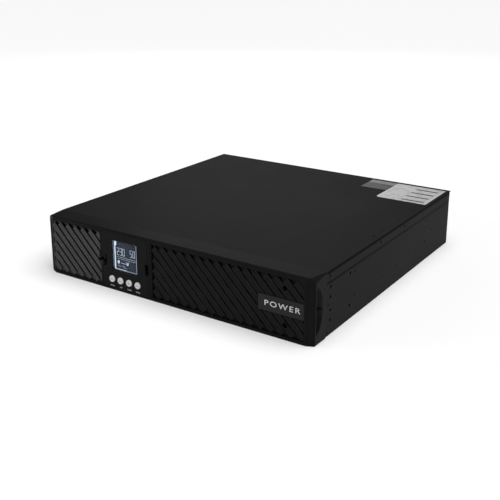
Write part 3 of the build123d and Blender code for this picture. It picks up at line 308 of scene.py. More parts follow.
def painted_seam_shade_group():
    """Painted shade where two sheets meet: a level band with a soft lower edge, and painted shade on the
    unlit inner walls.
    """
    tree, given, out = new_group("seam_shade", (
        ("Low", NUMBER, 0.0), ("High", NUMBER, 1.0), ("Fade", NUMBER, 0.4 * MM),
        ("Inner Wall", NUMBER, 0.0)), (("Mask", NUMBER),))
    axes = split_axes(tree, object_place(tree))
    rise = math_node(tree, "DIVIDE", minus(tree, axes["Z"], given["Low"]), given["Fade"], True)
    band = times(tree, rise, below(tree, axes["Z"], given["High"]))
    inner = below(tree, math_node(tree, "ABSOLUTE", axes["X"]), given["Inner Wall"])
    inner = times(tree, inner, above(tree, axes["Z"], WALL_FOOT * MM))
    tree.links.new(math_node(tree, "MAXIMUM", band, inner), out["Mask"])
    return tree


def scoop_group():
    """Shade in the bezel's finger scoops: a black slot over a dim lower half."""
    tree, given, out = new_group("scoop_shade", (
        ("Rim", NUMBER, 0.2187), ("Start", NUMBER, -0.212), ("Slot Low", NUMBER, 0.042),
        ("Slot High", NUMBER, 0.045)), (("Mask", NUMBER),))
    axes = split_axes(tree, object_place(tree))
    sunk = below(tree, math_node(tree, "ABSOLUTE", axes["X"]), given["Rim"])
    behind = above(tree, axes["Y"], given["Start"])
    under = below(tree, axes["Z"], given["Slot High"])
    slot = times(tree, under, above(tree, axes["Z"], given["Slot Low"]))
    shade = math_node(tree, "MAXIMUM", times(tree, under, SCOOP_DIM), slot)
    tree.links.new(times(tree, times(tree, sunk, behind), shade), out["Mask"])
    return tree


def print_group():
    """Rows of short unreadable dashes, as on a rating sticker."""
    tree, given, out = new_group("print_rows", (
        ("Corner", VECTOR, (0, 0, 0)), ("Row Height", NUMBER, 3.4 * MM), ("Fill", NUMBER, 0.5),
        ("Weight", NUMBER, 0.42), ("Breaks", NUMBER, 240.0), ("Low X", NUMBER, 0.0),
        ("High X", NUMBER, 1.0)), (("Mask", NUMBER),))
    axes = split_axes(tree, vector_math(tree, "SUBTRACT", object_place(tree), given["Corner"]))
    row = math_node(tree, "DIVIDE", axes["Y"], given["Row Height"])
    number = math_node(tree, "FLOOR", row)
    band = below(tree, minus(tree, row, number), given["Weight"])
    cell = tree.nodes.new("ShaderNodeCombineXYZ")
    tree.links.new(times(tree, axes["X"], given["Breaks"]), cell.inputs["X"])
    tree.links.new(times(tree, number, ROW_STEP), cell.inputs["Y"])
    words = below(tree, noise(tree, cell.outputs[0], 1.0, 1.0), given["Fill"])
    inner = times(tree, above(tree, axes["X"], given["Low X"]), below(tree, axes["X"], given["High X"]))
    tree.links.new(times(tree, times(tree, band, words), inner), out["Mask"])
    return tree


COAT = surface_group("powder_coat", True)
MOULDING = surface_group("moulded_grain", False)
ROLLED = brushed_group()
BAR_HIGHLIGHTS = bar_highlight_group()
DUST = dust_group()
PAINTED_SEAM_SHADE = painted_seam_shade_group()
SCOOP = scoop_group()
PRINT = print_group()


# ---------------------------------------------------------------- materials

DUST_COLOUR = (0.30, 0.29, 0.28, 1)
# Near-black painted shade, and the strength of the painted shade in seams and louvre gaps.
SHADE_COLOUR = (0.0008, 0.0008, 0.0009, 1)      # unlit seams and scoops
GAP_SHADE_COLOUR = (0.0010, 0.0010, 0.0011, 1)        # painted shade between louvre bars
SEAM_SHADE_WEIGHT, GAP_SHADE_WEIGHT = 0.96, 0.92


def start_material(name, **sockets):
    material = bpy.data.materials.new(name)
    material.use_nodes = True
    shader = material.node_tree.nodes["Principled BSDF"]
    for key, value in sockets.items():
        shader.inputs[key.replace("_", " ")].default_value = value
    return material, material.node_tree, shader


def place_group(tree, group, values):
    made = tree.nodes.new("ShaderNodeGroup")
    made.node_tree = group
    for key, value in values.items():
        made.inputs[key].default_value = value
    return made.outputs


def rgba(colour):
    return (*colour, 1.0)


def grain_of(tree, colour, patch, grain, patch_scale, rough, spread, specks=0.1, group=MOULDING):
    return place_group(tree, group, {
        "Colour": rgba(colour), "Patch Colour": rgba(patch), "Grain Scale": grain, "Patch Scale": patch_scale,
        "Specks": specks, "Roughness": rough, "Roughness Spread": spread})


def finish_shader(tree, shader, colour, grain, strength, depth):
    """Feeds a colour and a group's roughness and relief to the shader. depth is in millimetres."""
    tree.links.new(colour, shader.inputs["Base Color"])
    tree.links.new(grain["Roughness"], shader.inputs["Roughness"])
    if depth:
        relief = tree.nodes.new("ShaderNodeBump")
        relief.inputs["Strength"].default_value = strength
        relief.inputs["Distance"].default_value = depth * MM
        tree.links.new(grain["Height"], relief.inputs["Height"])
        tree.links.new(relief.outputs["Normal"], shader.inputs["Normal"])


def grained(name, colour, patch, group=MOULDING, grain=1800.0, rough=0.5, spread=0.12, specks=0.0,
            patch_scale=9.0, depth=0.03, strength=0.4, dust=0.0, seam_shade_band=None, scoop=None, **sockets):
    """Plastic or coated metal with grain, patches and specks, and dust, painted shade along seams and painted
    shade in finger scoops where they are given.
    """
    material, tree, shader = start_material(name, **sockets)
    surface = grain_of(tree, colour, patch, grain, patch_scale, rough, spread, specks, group)
    shown = surface["Colour"]
    if dust:
        film = place_group(tree, DUST, {"Amount": dust})
        shown = mix_colour(tree, film["Mask"], shown, DUST_COLOUR)
    # Painted shade along seams and on unlit inner walls, where it is given.
    if seam_shade_band:
        line = place_group(tree, PAINTED_SEAM_SHADE, {key: value * MM for key, value in seam_shade_band.items()})
        shown = mix_colour(tree, times(tree, line["Mask"], SEAM_SHADE_WEIGHT), shown, SHADE_COLOUR)
    # Painted shade in the finger scoops.
    if scoop:
        sunk = place_group(tree, SCOOP, {key: value * MM for key, value in scoop.items()})
        shown = mix_colour(tree, sunk["Mask"], shown, SHADE_COLOUR)
    finish_shader(tree, shader, shown, surface, strength, depth)
    return material


def metal(name, colour, stretch, rough=0.35, spread=0.25, depth=0.01):
    material, tree, shader = start_material(name, Metallic=1.0)
    surface = place_group(tree, ROLLED, {"Colour": rgba(colour), "Stretch": stretch, "Roughness": rough,
                                         "Spread": spread})
    finish_shader(tree, shader, surface["Colour"], surface, 0.3, depth)
    return material


def louvre_finish(name, colour, patch, start, half_width, highlight_colour, highlight_weight, rough, specks):
    """Louvre moulding with painted highlights along the bar edges and painted shade in the gaps."""
    material, tree, shader = start_material(name, Specular_IOR_Level=0.04)
    surface = grain_of(tree, colour, patch, 1300.0, 30.0, rough, 0.25, specks)
    bars = place_group(tree, BAR_HIGHLIGHTS, {
        "Start": start * MM, "Pitch": BAR_PITCH * MM, "Half Width": half_width * MM})
    shown = mix_colour(tree, times(tree, bars["Mask"], highlight_weight), surface["Colour"], rgba(highlight_colour))
    shown = mix_colour(tree, times(tree, bars["Gap Shade"], GAP_SHADE_WEIGHT), shown, GAP_SHADE_COLOUR)
    finish_shader(tree, shader, shown, surface, 0.5, 0.05)
    return material


def glow(name, colour, patch, strength):
    """Lit layer of the display, a little uneven as a backlight is."""
    material, tree, shader = start_material(name, Emission_Strength=strength, Specular_IOR_Level=0.1)
    surface = grain_of(tree, colour, patch, 900.0, 45.0, 0.25, 0.1)
    tree.links.new(surface["Colour"], shader.inputs["Emission Color"])
    finish_shader(tree, shader, surface["Colour"], surface, 0, 0)
    return material


def sticker_finish(name, grey, patch_grey, corner, prints):
    """Silvered film with rows of print. prints: (row, weight, fill, breaks, low_x, high_x, ink grey)."""
    material, tree, shader = start_material(name)
    film = grain_of(tree, (grey,) * 3, (patch_grey,) * 3, 1400.0, 30.0, 0.38, 0.1)
    shown = film["Colour"]
    for row, weight, fill, breaks, low_x, high_x, ink in prints:
        rows = place_group(tree, PRINT, {
            "Corner": (corner[0] * MM, corner[1] * MM, 0), "Row Height": row * MM, "Weight": weight,
            "Fill": fill, "Breaks": breaks, "Low X": low_x * MM, "High X": high_x * MM})
        shown = mix_colour(tree, rows["Mask"], shown, rgba((ink,) * 3))
    finish_shader(tree, shader, shown, film, 0.2, 0.01)
    return material


def window_finish(name):
    """Clear acrylic with the faintest rub marks."""
    material, tree, shader = start_material(name, Transmission_Weight=1.0, IOR=1.10, Specular_IOR_Level=0.2)
    surface = grain_of(tree, (0.92, 0.95, 1.0), (0.84, 0.89, 0.97), 500.0, 25.0, 0.04, 0.03)
    finish_shader(tree, shader, surface["Colour"], surface, 0, 0)
    return material


LEFT_BAR_START, RIGHT_BAR_START = -191.0, -6.3       # x + z along the middle of the lowest bar
BAR_PITCH, BAR_WIDTH = 14.6, 8.2

STEEL_COLOUR, STEEL_PATCH = (0.0118, 0.0118, 0.0120), (0.0158, 0.0158, 0.0161)
STEEL_COAT = dict(group=COAT, grain=1500.0, spread=0.2, specks=0.01, patch_scale=5.0, strength=0.35,
                  dust=0.006, Specular_IOR_Level=0.02)
SCOOP_PLACE = {"Rim": SIDE - 0.3, "Start": FRONT + 5.9, "Slot Low": 41.9, "Slot High": 45.3}

# Colour, patch colour, and what differs from the usual grain.
GRAINED = {
    "painted_steel": (STEEL_COLOUR, STEEL_PATCH, STEEL_COAT),
    "slot_plate": ((0.012, 0.012, 0.0125), (0.017, 0.017, 0.0175), dict(
        group=COAT, grain=1500.0, spread=0.2, specks=0.02, patch_scale=8.0)),
    "bezel_plastic": ((0.0070, 0.0070, 0.0072), (0.0090, 0.0090, 0.0093), dict(
        grain=2200.0, rough=0.42, spread=0.15, patch_scale=8.0, strength=0.35, dust=0.004, scoop=SCOOP_PLACE,
        Specular_IOR_Level=0.03)),
    "display_plastic": ((0.0080, 0.0080, 0.0083), (0.0110, 0.0110, 0.0114), dict(
        grain=2600.0, rough=0.40, patch_scale=14.0, depth=0.02, strength=0.25, Specular_IOR_Level=0.03)),
    "key_plastic": ((0.72, 0.72, 0.73), (0.62, 0.62, 0.63), dict(
        grain=1600.0, rough=0.42, spread=0.15, patch_scale=120.0, depth=0.02, strength=0.2)),
    "plate_plastic": ((0.0052, 0.0052, 0.0056), (0.0074, 0.0074, 0.0078), dict(
        grain=1500.0, rough=0.38, spread=0.1, patch_scale=20.0, depth=0.01, strength=0.2,
        Specular_IOR_Level=0.2)),
    "blackened_screw": ((0.0030, 0.0030, 0.0032), (0.0050, 0.0050, 0.0052), dict(
        rough=0.45, spread=0.15, patch_scale=60.0, depth=0.01, strength=0.2, Specular_IOR_Level=0.06)),
    "battery_case": ((0.045, 0.045, 0.05), (0.07, 0.07, 0.075), dict(
        grain=900.0, rough=0.55, spread=0.2, specks=0.03, patch_scale=12.0, depth=0.06)),
    "circuit_board": ((0.014, 0.09, 0.035), (0.03, 0.16, 0.06), dict(
        grain=260.0, rough=0.3, spread=0.3, specks=0.25, patch_scale=60.0, depth=0.05, strength=0.5,
        Coat_Weight=0.3)),
    "connector_plastic": ((0.42, 0.42, 0.41), (0.5, 0.5, 0.48), dict(grain=1200.0)),
    "component_black": ((0.02, 0.02, 0.02), (0.035, 0.035, 0.035), dict(grain=1500.0, rough=0.55)),
    "capacitor_sleeve": ((0.02, 0.035, 0.1), (0.035, 0.06, 0.15), dict(grain=700.0, rough=0.3)),
    "ferrite": ((0.06, 0.06, 0.062), (0.09, 0.09, 0.09), dict(grain=1500.0, rough=0.6)),
    "fan_plastic": ((0.013, 0.013, 0.014), (0.02, 0.02, 0.021), dict(grain=1500.0, rough=0.45)),
    "outlet_plastic": ((0.014, 0.014, 0.015), (0.022, 0.022, 0.023), dict(grain=1700.0, rough=0.42)),
    "breaker_cap": ((0.45, 0.03, 0.02), (0.56, 0.05, 0.035), dict(grain=1500.0, rough=0.32)),
    "terminal_green": ((0.04, 0.28, 0.10), (0.06, 0.36, 0.14), dict(grain=1400.0, rough=0.4)),
    "battery_socket_grey": ((0.26, 0.26, 0.27), (0.33, 0.33, 0.34), dict(grain=1400.0, rough=0.45)),
}
# Colour, stretch of the drawn lines, roughness, its spread and the relief.
METALS = {
    "dark_screw": ((0.05, 0.05, 0.055), (900.0, 900.0, 60.0), 0.4),
    "handle_steel": ((0.62, 0.63, 0.64), (60.0, 900.0, 900.0), 0.25),
    "zinc_steel": ((0.55, 0.57, 0.58), (30.0, 700.0, 700.0), 0.42, 0.3, 0.02),
    "copper_links": ((0.72, 0.40, 0.25), (300.0, 900.0, 900.0), 0.3),
    "heatsink_aluminium": ((0.62, 0.63, 0.64), (900.0, 25.0, 900.0), 0.38),
    "coil_copper": ((0.62, 0.27, 0.11), (25.0, 900.0, 900.0), 0.35, 0.3, 0.2),
    "port_metal": ((0.58, 0.58, 0.60), (120.0, 900.0, 900.0), 0.32),
}
# Colour, patch colour, bar start, half width, colour of the painted edge highlights, their weight, roughness,
# specks.
LOUVRES = {
    # The left grille's lighter colour is painted light: its bars catch more light than the right grille's.
    "left_grille_plastic": ((0.034, 0.034, 0.035), (0.072, 0.072, 0.074), LEFT_BAR_START, 4.9,
                            (0.16, 0.16, 0.165), 0.6, 0.5, 0.5),
    "right_grille_plastic": ((0.0060, 0.0060, 0.0063), (0.0110, 0.0110, 0.0115), RIGHT_BAR_START, 5.6,
                             (0.046, 0.046, 0.048), 0.9, 0.42, 0.02),
}

FINISH = {name: grained(name, colour, patch, **detail) for name, (colour, patch, detail) in GRAINED.items()}
FINISH.update({name: metal(name, *values) for name, values in METALS.items()})
FINISH.update({name: louvre_finish(name, *values) for name, values in LOUVRES.items()})
FINISH["window_clear"] = window_finish("window_clear")
FINISH["lcd_backlit"] = glow("lcd_backlit", (0.026, 0.034, 0.045), (0.034, 0.042, 0.054), 0.28)
LCD_BRIGHT = glow("lcd_bright", (0.84, 0.90, 0.96), (0.74, 0.82, 0.90), 0.50)
LCD_MARK = glow("lcd_mark", (0.70, 0.78, 0.86), (0.60, 0.70, 0.80), 0.25)
INK = grained("printed_white", (0.74, 0.74, 0.75), (0.6, 0.6, 0.61), grain=1500.0, spread=0.1,
              patch_scale=200.0, depth=0.005, strength=0.1)
KEY_MARK = grained("key_mark", (0.16, 0.16, 0.17), (0.24, 0.24, 0.25), grain=1500.0)


# ---------------------------------------------------------------- modelling

def leave_edit():
    if bpy.context.object is not None and bpy.context.object.mode != "OBJECT":
        bpy.ops.object.mode_set(mode="OBJECT")


def clear_choice():
    leave_edit()
    bpy.ops.object.select_all(action="DESELECT")


def choose(*pieces):
    """Selects only these pieces; the first is active."""
    clear_choice()
    for piece in pieces:
        piece.select_set(True)
    bpy.context.view_layer.objects.active = pieces[0]


def settle(piece):
    """Moves a piece's place, turn and size into its mesh."""
    choose(piece)
    bpy.ops.object.transform_apply(location=True, rotation=True, scale=True)
    return piece


def block(name, x, y, z):
    """Box between two corners, each axis given as (low, high)."""
    clear_choice()
    centre = [sum(pair) / 2 * MM for pair in (x, y, z)]
    size = [abs(pair[1] - pair[0]) * MM for pair in (x, y, z)]
    bpy.ops.mesh.primitive_cube_add(size=1, location=centre, scale=size)
    piece = bpy.context.object
    piece.name = name
    return settle(piece)


TURNS = {"x": (0, math.pi / 2, 0), "y": (math.pi / 2, 0, 0), "z": (0, 0, 0)}


def rod(name, axis, centre, radius, low, high, sides=40):
    """Cylinder along an axis; centre is its place across that axis."""
    clear_choice()
    middle = (low + high) / 2
    place = {"x": (middle, *centre), "y": (centre[0], middle, centre[1]), "z": (*centre, middle)}[axis]
    bpy.ops.mesh.primitive_cylinder_add(vertices=sides, radius=radius * MM, depth=(high - low) * MM,
                                        location=[value * MM for value in place], rotation=TURNS[axis])
    piece = bpy.context.object
    piece.name = name
    return settle(piece)


def apply_modifier(piece, kind, **values):
    choose(piece)
    modifier = piece.modifiers.new(kind.lower(), kind)
    for key, value in values.items():
        setattr(modifier, key, value)
    bpy.ops.object.modifier_apply(modifier=modifier.name)
    return piece


def bevel(piece, width, segments=2, angle=35):
    """Rounds every edge sharper than angle."""
    return apply_modifier(piece, "BEVEL", width=width * MM, segments=segments, limit_method="ANGLE",
                          angle_limit=math.radians(angle), use_clamp_overlap=True)


def bevel_edges(piece, width, segments, test):
    """Rounds the edges whose two ends, in millimetres, pass the test."""
    choose(piece)
    bpy.ops.object.mode_set(mode="EDIT")
    bpy.ops.mesh.select_mode(type="EDGE")
    bpy.ops.mesh.select_all(action="DESELECT")
    bpy.ops.object.mode_set(mode="OBJECT")
    points = piece.data.vertices
    for edge in piece.data.edges:
        a, b = (points[i].co / MM for i in edge.vertices)
        edge.select = test(a, b)
    bpy.ops.object.mode_set(mode="EDIT")
    bpy.ops.mesh.bevel(offset=width * MM, segments=segments, affect="EDGES")
    bpy.ops.object.mode_set(mode="OBJECT")
    return piece


def cut(piece, *cutters):
    """Takes each cutter out of the piece."""
    for cutter in cutters:
        apply_modifier(piece, "BOOLEAN", operation="DIFFERENCE", object=cutter, solver="EXACT")
        bpy.data.objects.remove(cutter)
    return piece


def weld_in(piece, *others):
    """Fuses other closed pieces with this one."""
    for other in others:
        apply_modifier(piece, "BOOLEAN", operation="UNION", object=other, solver="EXACT")
        bpy.data.objects.remove(other)
    return piece


def join(name, pieces):
    choose(*pieces)
    if len(pieces) > 1:
        bpy.ops.object.join()
    piece = bpy.context.object
    piece.name = name
    return piece


def keep(piece, body, finish, replaced=(), angle=32):
    """Smooths and colours a finished piece and puts it on its body."""
    choose(piece)
    bpy.ops.object.shade_smooth_by_angle(angle=math.radians(angle))
    apply_modifier(piece, "WEIGHTED_NORMAL", keep_sharp=True)
    piece.data.materials.clear()
    piece.data.materials.append(finish)
    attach(piece, body)
    if replaced:
        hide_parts(*replaced)
    return piece


def copy_node(name, node_name):
    """Loose copy of a frame node's mesh with its points merged and flat faces joined."""
    source = NODES[node_name]
    piece = bpy.data.objects.new(name, source.data.copy())
    scene.collection.objects.link(piece)
    choose(piece)
    bpy.ops.object.mode_set(mode="EDIT")
    bpy.ops.mesh.select_all(action="SELECT")
    bpy.ops.mesh.remove_doubles(threshold=0.01 * MM)
    bpy.ops.mesh.customdata_custom_splitnormals_clear()
    bpy.ops.mesh.dissolve_limited(angle_limit=math.radians(1.0))
    bpy.ops.object.mode_set(mode="OBJECT")
    return piece


def lettering(name, word, centre_x, base_z, height, face_y, thickness, spacing=1.0, width=None):
    """Flat raised word that faces -Y, its capitals height tall."""
    clear_choice()
    bpy.ops.object.text_add(location=(0, 0, 0))
    text = bpy.context.object
    text.data.body = word
    text.data.align_x = "CENTER"
    text.data.space_character = spacing
    text.data.resolution_u = 4
    text.data.extrude = 0.5
    bpy.ops.object.convert(target="MESH")
    piece = bpy.context.object
    piece.name = name
    xs = [point.co.x for point in piece.data.vertices]
    ys = [point.co.y for point in piece.data.vertices]
    up = height / (max(ys) - min(ys)) * MM
    across = width / (max(xs) - min(xs)) * MM if width else up
    piece.scale = (across, up, thickness * MM)
    piece.rotation_euler = (math.pi / 2, 0, 0)
    middle = (max(xs) + min(xs)) / 2 * across
    piece.location = (centre_x * MM - middle, (face_y - thickness / 2) * MM, base_z * MM - min(ys) * up)
    return settle(piece)


# ---------------------------------------------------------------- steel case

LID_SHEET, PAN_SHEET = 1.0, 1.2
FLANGE_BOTTOM = LID_LOW.z
GROOVE_HEIGHT, GROOVE_DEPTH = 1.3, 0.6
FLANGE_END, FLANGE_RELIEF = REAR - 4.0, 5.0
LID_FOLD, PAN_FOLD = 0.9, 1.0               # radii of the folded corners
FLANGE_SCREWS_Y = (FRONT + 38.4, FRONT + 179.0, FRONT + 256.8)
FLANGE_SCREW_Z = 79.0
FLANGE_HOLE, PAN_SCREW_HOLE = 2.3, 1.75     # radii
SCREW_RADIUS, SCREW_LENGTH, SCREW_SINK = 1.7, 7.0, 0.6
CROSS, CROSS_DEPTH = (1.15, 0.28), 0.8      # reach and half width, depth
LID_HOLES_Y = (FRONT + 174.7, FRONT + 203.8, FRONT + 252.8)
LID_HOLE_X, LID_HOLE = SIDE - 9.6, 1.4
EAR_MIDDLE, EAR_HOLE = 41.7, 2.0
EAR_HOLES = [(FRONT + 42.7, EAR_MIDDLE + dz) for dz in (-21.8, -8.7, 8.7, 21.8)]
EAR_HOLES += [(FRONT + 94.0, EAR_MIDDLE + dz) for dz in (-21.8, 21.8)]
DIMPLE_RADIUS, DIMPLE_DEPTH = 1.5, 0.35
# Dimples of each side: distance behind the front face, height.
DIMPLES = ((36.8, 41.8), (36.0, 4.6), (107.0, 61.5), (107.0, 29.7), (193.5, 24.7), (240.0, 25.9),
           (340.0, 31.2), (340.0, 63.5), (363.5, 43.0))


LID_GROOVE_TOP = LID_HIGH.z - LID_SHEET
# Painted shade bands along the lid's side groove and under the lid flange on the base; on the base the inner
# walls get painted shade as well.
LID_SEAM_SHADE = {"Low": LID_GROOVE_TOP - GROOVE_HEIGHT - 2.1, "High": LID_GROOVE_TOP, "Fade": 0.3}
PAN_SEAM_SHADE = {"Low": FLANGE_BOTTOM - 4.3, "High": PAN_HIGH.z + 1, "Fade": 0.5, "Inner Wall": PAN_HIGH.x - 0.2}
LID_PAINT = grained("lid_paint", STEEL_COLOUR, STEEL_PATCH, seam_shade_band=LID_SEAM_SHADE, **STEEL_COAT)
PAN_PAINT = grained("pan_paint", STEEL_COLOUR, STEEL_PATCH, seam_shade_band=PAN_SEAM_SHADE, **STEEL_COAT)


def make_lid():
    """Folded lid: plate, two side flanges with relieved ends, holes."""
    lid = block("lid_sheet", (LID_LOW.x, LID_HIGH.x), (LID_LOW.y, LID_HIGH.y), (LID_LOW.z, LID_HIGH.z))
    cut(lid, block("c", (LID_LOW.x + LID_SHEET, LID_HIGH.x - LID_SHEET), (LID_LOW.y - 1, LID_HIGH.y + 1),
                   (LID_LOW.z - 1, LID_HIGH.z - LID_SHEET)))
    bevel_edges(lid, LID_FOLD, 4, lambda a, b: min(a.z, b.z) > LID_HIGH.z - 0.01 and abs(a.x - b.x) < 0.01
                and abs(a.x) > SIDE - 0.01)
    cut(lid, block("c", (LID_LOW.x - 1, LID_HIGH.x + 1), (FLANGE_END, REAR + 1),
                   (LID_LOW.z - 1, LID_HIGH.z - LID_SHEET)))
    cut(lid, rod("c", "x", (FLANGE_END, FLANGE_BOTTOM), FLANGE_RELIEF, -SIDE - 1, SIDE + 1))
    for y in FLANGE_SCREWS_Y:
        cut(lid, rod("c", "x", (y, FLANGE_SCREW_Z), FLANGE_HOLE, -SIDE - 1, SIDE + 1, 28))
    for y in LID_HOLES_Y:
        for side in (-1, 1):
            cut(lid, rod("c", "z", (side * LID_HOLE_X, y), LID_HOLE, LID_HIGH.z - 3, LID_HIGH.z + 1, 24))
    groove = (LID_GROOVE_TOP - GROOVE_HEIGHT, LID_GROOVE_TOP)
    for side in (-1, 1):
        x = sorted((side * (SIDE - GROOVE_DEPTH), side * (SIDE + 1)))
        cut(lid, block("c", x, (LID_LOW.y - 1, FLANGE_END + 1), groove))
    bevel(lid, 0.18, 2)
    keep(lid, "case", LID_PAINT, ("top_cover",))


def make_pan():
    """Folded base with side walls, ear holes and pressed dimples."""
    pan = block("base_sheet", (PAN_LOW.x, PAN_HIGH.x), (PAN_LOW.y, PAN_HIGH.y), (PAN_LOW.z, PAN_HIGH.z))
    cut(pan, block("c", (PAN_LOW.x + PAN_SHEET, PAN_HIGH.x - PAN_SHEET), (PAN_LOW.y - 1, PAN_HIGH.y + 1),
                   (PAN_LOW.z + PAN_SHEET, PAN_HIGH.z + 1)))
    bevel_edges(pan, PAN_FOLD, 4, lambda a, b: max(a.z, b.z) < 0.01 and abs(a.x - b.x) < 0.01
                and abs(a.x) > PAN_HIGH.x - 0.01)
    for y, z in EAR_HOLES:
        cut(pan, rod("c", "x", (y, z), EAR_HOLE, PAN_LOW.x - 1, PAN_HIGH.x + 1, 28))
    for y in FLANGE_SCREWS_Y:
        cut(pan, rod("c", "x", (y, FLANGE_SCREW_Z), PAN_SCREW_HOLE, PAN_LOW.x - 1, PAN_HIGH.x + 1, 24))
    for side in (-1, 1):
        face = side * PAN_HIGH.x
        low, high = sorted((face - side * DIMPLE_DEPTH, face + side))
        for y, z in DIMPLES:
            cut(pan, rod("c", "x", (FRONT + y, z), DIMPLE_RADIUS, low, high, 20))
    bevel(pan, 0.15, 2)
    keep(pan, "case", PAN_PAINT, ("base_pan",))


def around(middle, half):
    return middle - half, middle + half


def make_flange_screws():
    """Sunk cross-head screws of the lid flanges."""
    heads = []
    for side in (-1, 1):
        face = side * (SIDE - SCREW_SINK)
        for y in FLANGE_SCREWS_Y:
            low, high = sorted((face, side * (SIDE - SCREW_LENGTH)))
            head = rod("c", "x", (y, FLANGE_SCREW_Z), SCREW_RADIUS, low, high, 28)
            bevel(head, 0.25, 2)
            depth = sorted((face - side * CROSS_DEPTH, face + side))
            for along, up in (CROSS, CROSS[::-1]):
                cut(head, block("c", depth, around(y, along), around(FLANGE_SCREW_Z, up)))
            heads.append(head)
    whole = join("flange_screw_heads", heads)
    keep(whole, "case", FINISH["blackened_screw"], ("flange_screws",))


# x edges, y edges and first printed row behind the front face, film grey, its patch grey, print layers.
STICKERS = {
    "rating": ((133.6, 214.0), (343.4, 427.8), 350.4, 0.46, 0.53, (
        (6.6, 0.34, 0.50, 90.0, 4.0, 76.0, 0.30), (19.8, 0.22, 0.74, 110.0, 38.0, 74.0, 0.02))),
    "test": ((89.0, 133.2), (412.2, 427.8), 413.4, 0.15, 0.22, (
        (4.6, 0.42, 0.46, 240.0, 3.0, 41.0, 0.08),)),
    "serial": ((89.0, 133.2), (382.5, 412.0), 384.4, 0.026, 0.038, (
        (5.4, 0.42, 0.44, 240.0, 3.0, 41.0, 0.10),)),
}
CLIPPED_CORNER = 3.4


def make_stickers():
    """Rating sticker with one corner clipped, and the two-tone sticker beside it."""
    low, high = span("lid_labels")
    for name, (x, y, first_row, grey, patch_grey, prints) in STICKERS.items():
        piece = block(name + "_sticker", x, (FRONT + y[0], FRONT + y[1]), (low.z, high.z))
        if name == "rating":
            bevel_edges(piece, CLIPPED_CORNER, 1, lambda a, b, x=x[0] + 0.4, y=FRONT + y[0] + 0.6:
                        abs(a.z - b.z) > 0.1 and a.x < x and a.y < y)
        bevel(piece, 0.05, 1)
        film = sticker_finish(name + "_film", grey, patch_grey, (x[0], FRONT + first_row), prints)
        keep(piece, "case", film, ("lid_labels",) if name == "rating" else ())


# ---------------------------------------------------------------- bezel

def make_bezel(name, node_name, body):
    """Bezel half with every edge eased."""
    half = copy_node(name, node_name)
    bevel(half, 0.35, 3, 28)
    keep(half, body, FINISH["bezel_plastic"], (node_name,))


GRILLE_LOW, GRILLE_HIGH = 4.1, 80.5
BACKING_Z = (GRILLE_LOW - 0.9, GRILLE_HIGH + 1.5)
LEFT_SPAN, RIGHT_SPAN = (-210.5, -117.1), (-26.0, 205.8)
BAR_FRONT, GRILLE_BACK, BACKING = FRONT + 0.2, FRONT + 3.0, 2.0
BAR_Y = (BAR_FRONT, GRILLE_BACK + 0.05)
SHORTEST_BAR = 2.0
AIR_SLOT, SLOT_MARGIN = 2.1, 3.0
NOTCH_Z = (33.0, 50.0)
NOTCHES = ((-120.7, -106.4), (-38.2, -32.0))
NOTCH_DEPTH, NOTCH_WALL, NOTCH_RADIUS = 8.0, 1.5, 2.9


def bar(middle, width, edges, low, high, y, flush, name="bar"):
    """One louvre bar at 45 degrees, falling to the right along x + z = middle."""
    root = math.sqrt(2)
    across = middle / root
    near, far = across - width / 2, across + width / 2
    start = max(root * edges[0] - near, far - root * high)
    end = near - root * low
    if not flush:
        end = min(end, root * edges[1] - far)
    if end - start < SHORTEST_BAR:
        return None
    along = (start + end) / 2
    bpy.ops.object.select_all(action="DESELECT")
    place = ((along + across) / root * MM, sum(y) / 2 * MM, (across - along) / root * MM)
    bpy.ops.mesh.primitive_cube_add(size=1, location=place, rotation=(0, math.pi / 4, 0),
                                    scale=((end - start) * MM, (y[1] - y[0]) * MM, width * MM))
    piece = bpy.context.object
    piece.name = name
    return settle(piece)


def row_of_bars(first, width, edges, low, high, y, flush):
    row, middle = [], first
    while middle < edges[1] + high:
        made = bar(middle, width, edges, low, high, y, flush)
        if made is not None:
            row.append(made)
        middle += BAR_PITCH
    return row


def trim_right(piece, edge):
    """Slices off what runs past the right edge and caps the cut."""
    choose(piece)
    bpy.ops.object.mode_set(mode="EDIT")
    bpy.ops.mesh.select_all(action="SELECT")
    bpy.ops.mesh.bisect(plane_co=(edge * MM, 0, 0), plane_no=(1, 0, 0), use_fill=True, clear_outer=True)
    bpy.ops.object.mode_set(mode="OBJECT")
    return piece


def notch_cutter(edges):
    """Rounded finger-notch shape."""
    cutter = block("c", edges, (FRONT - 1, FRONT + NOTCH_DEPTH), NOTCH_Z)
    radius = min(NOTCH_RADIUS, (edges[1] - edges[0]) / 2.2)
    return bevel_edges(cutter, radius, 5, lambda a, b: abs(a.y - b.y) > 1)


def notch_pocket(name, x, front):
    """Block that becomes the walls of a finger notch."""
    return block(name, x, (front, FRONT + NOTCH_DEPTH + NOTCH_WALL),
                 (NOTCH_Z[0] - NOTCH_WALL, NOTCH_Z[1] + NOTCH_WALL))


def backing_plate(name, edges, first):
    """Plate behind the bars with a long air slot in each gap."""
    plate = block(name, edges, (GRILLE_BACK, GRILLE_BACK + BACKING), BACKING_Z)
    slots = row_of_bars(first + BAR_PITCH / 2, AIR_SLOT, (edges[0] + SLOT_MARGIN, edges[1] - SLOT_MARGIN),
                        GRILLE_LOW + SLOT_MARGIN, GRILLE_HIGH - SLOT_MARGIN,
                        (GRILLE_BACK - 1, GRILLE_BACK + BACKING + 1), False)
    return cut(plate, join("slots", slots))


def louvre_bars(name, first, edges, ease, segments):
    """Every bar of one grille, trimmed at its right edge and eased."""
    bars = []
    for made in row_of_bars(first, BAR_WIDTH, edges, GRILLE_LOW, GRILLE_HIGH, BAR_Y, True):
        trim_right(made, edges[1] - 0.05)
        bars.append(bevel(made, ease, segments))
    return join(name, bars)


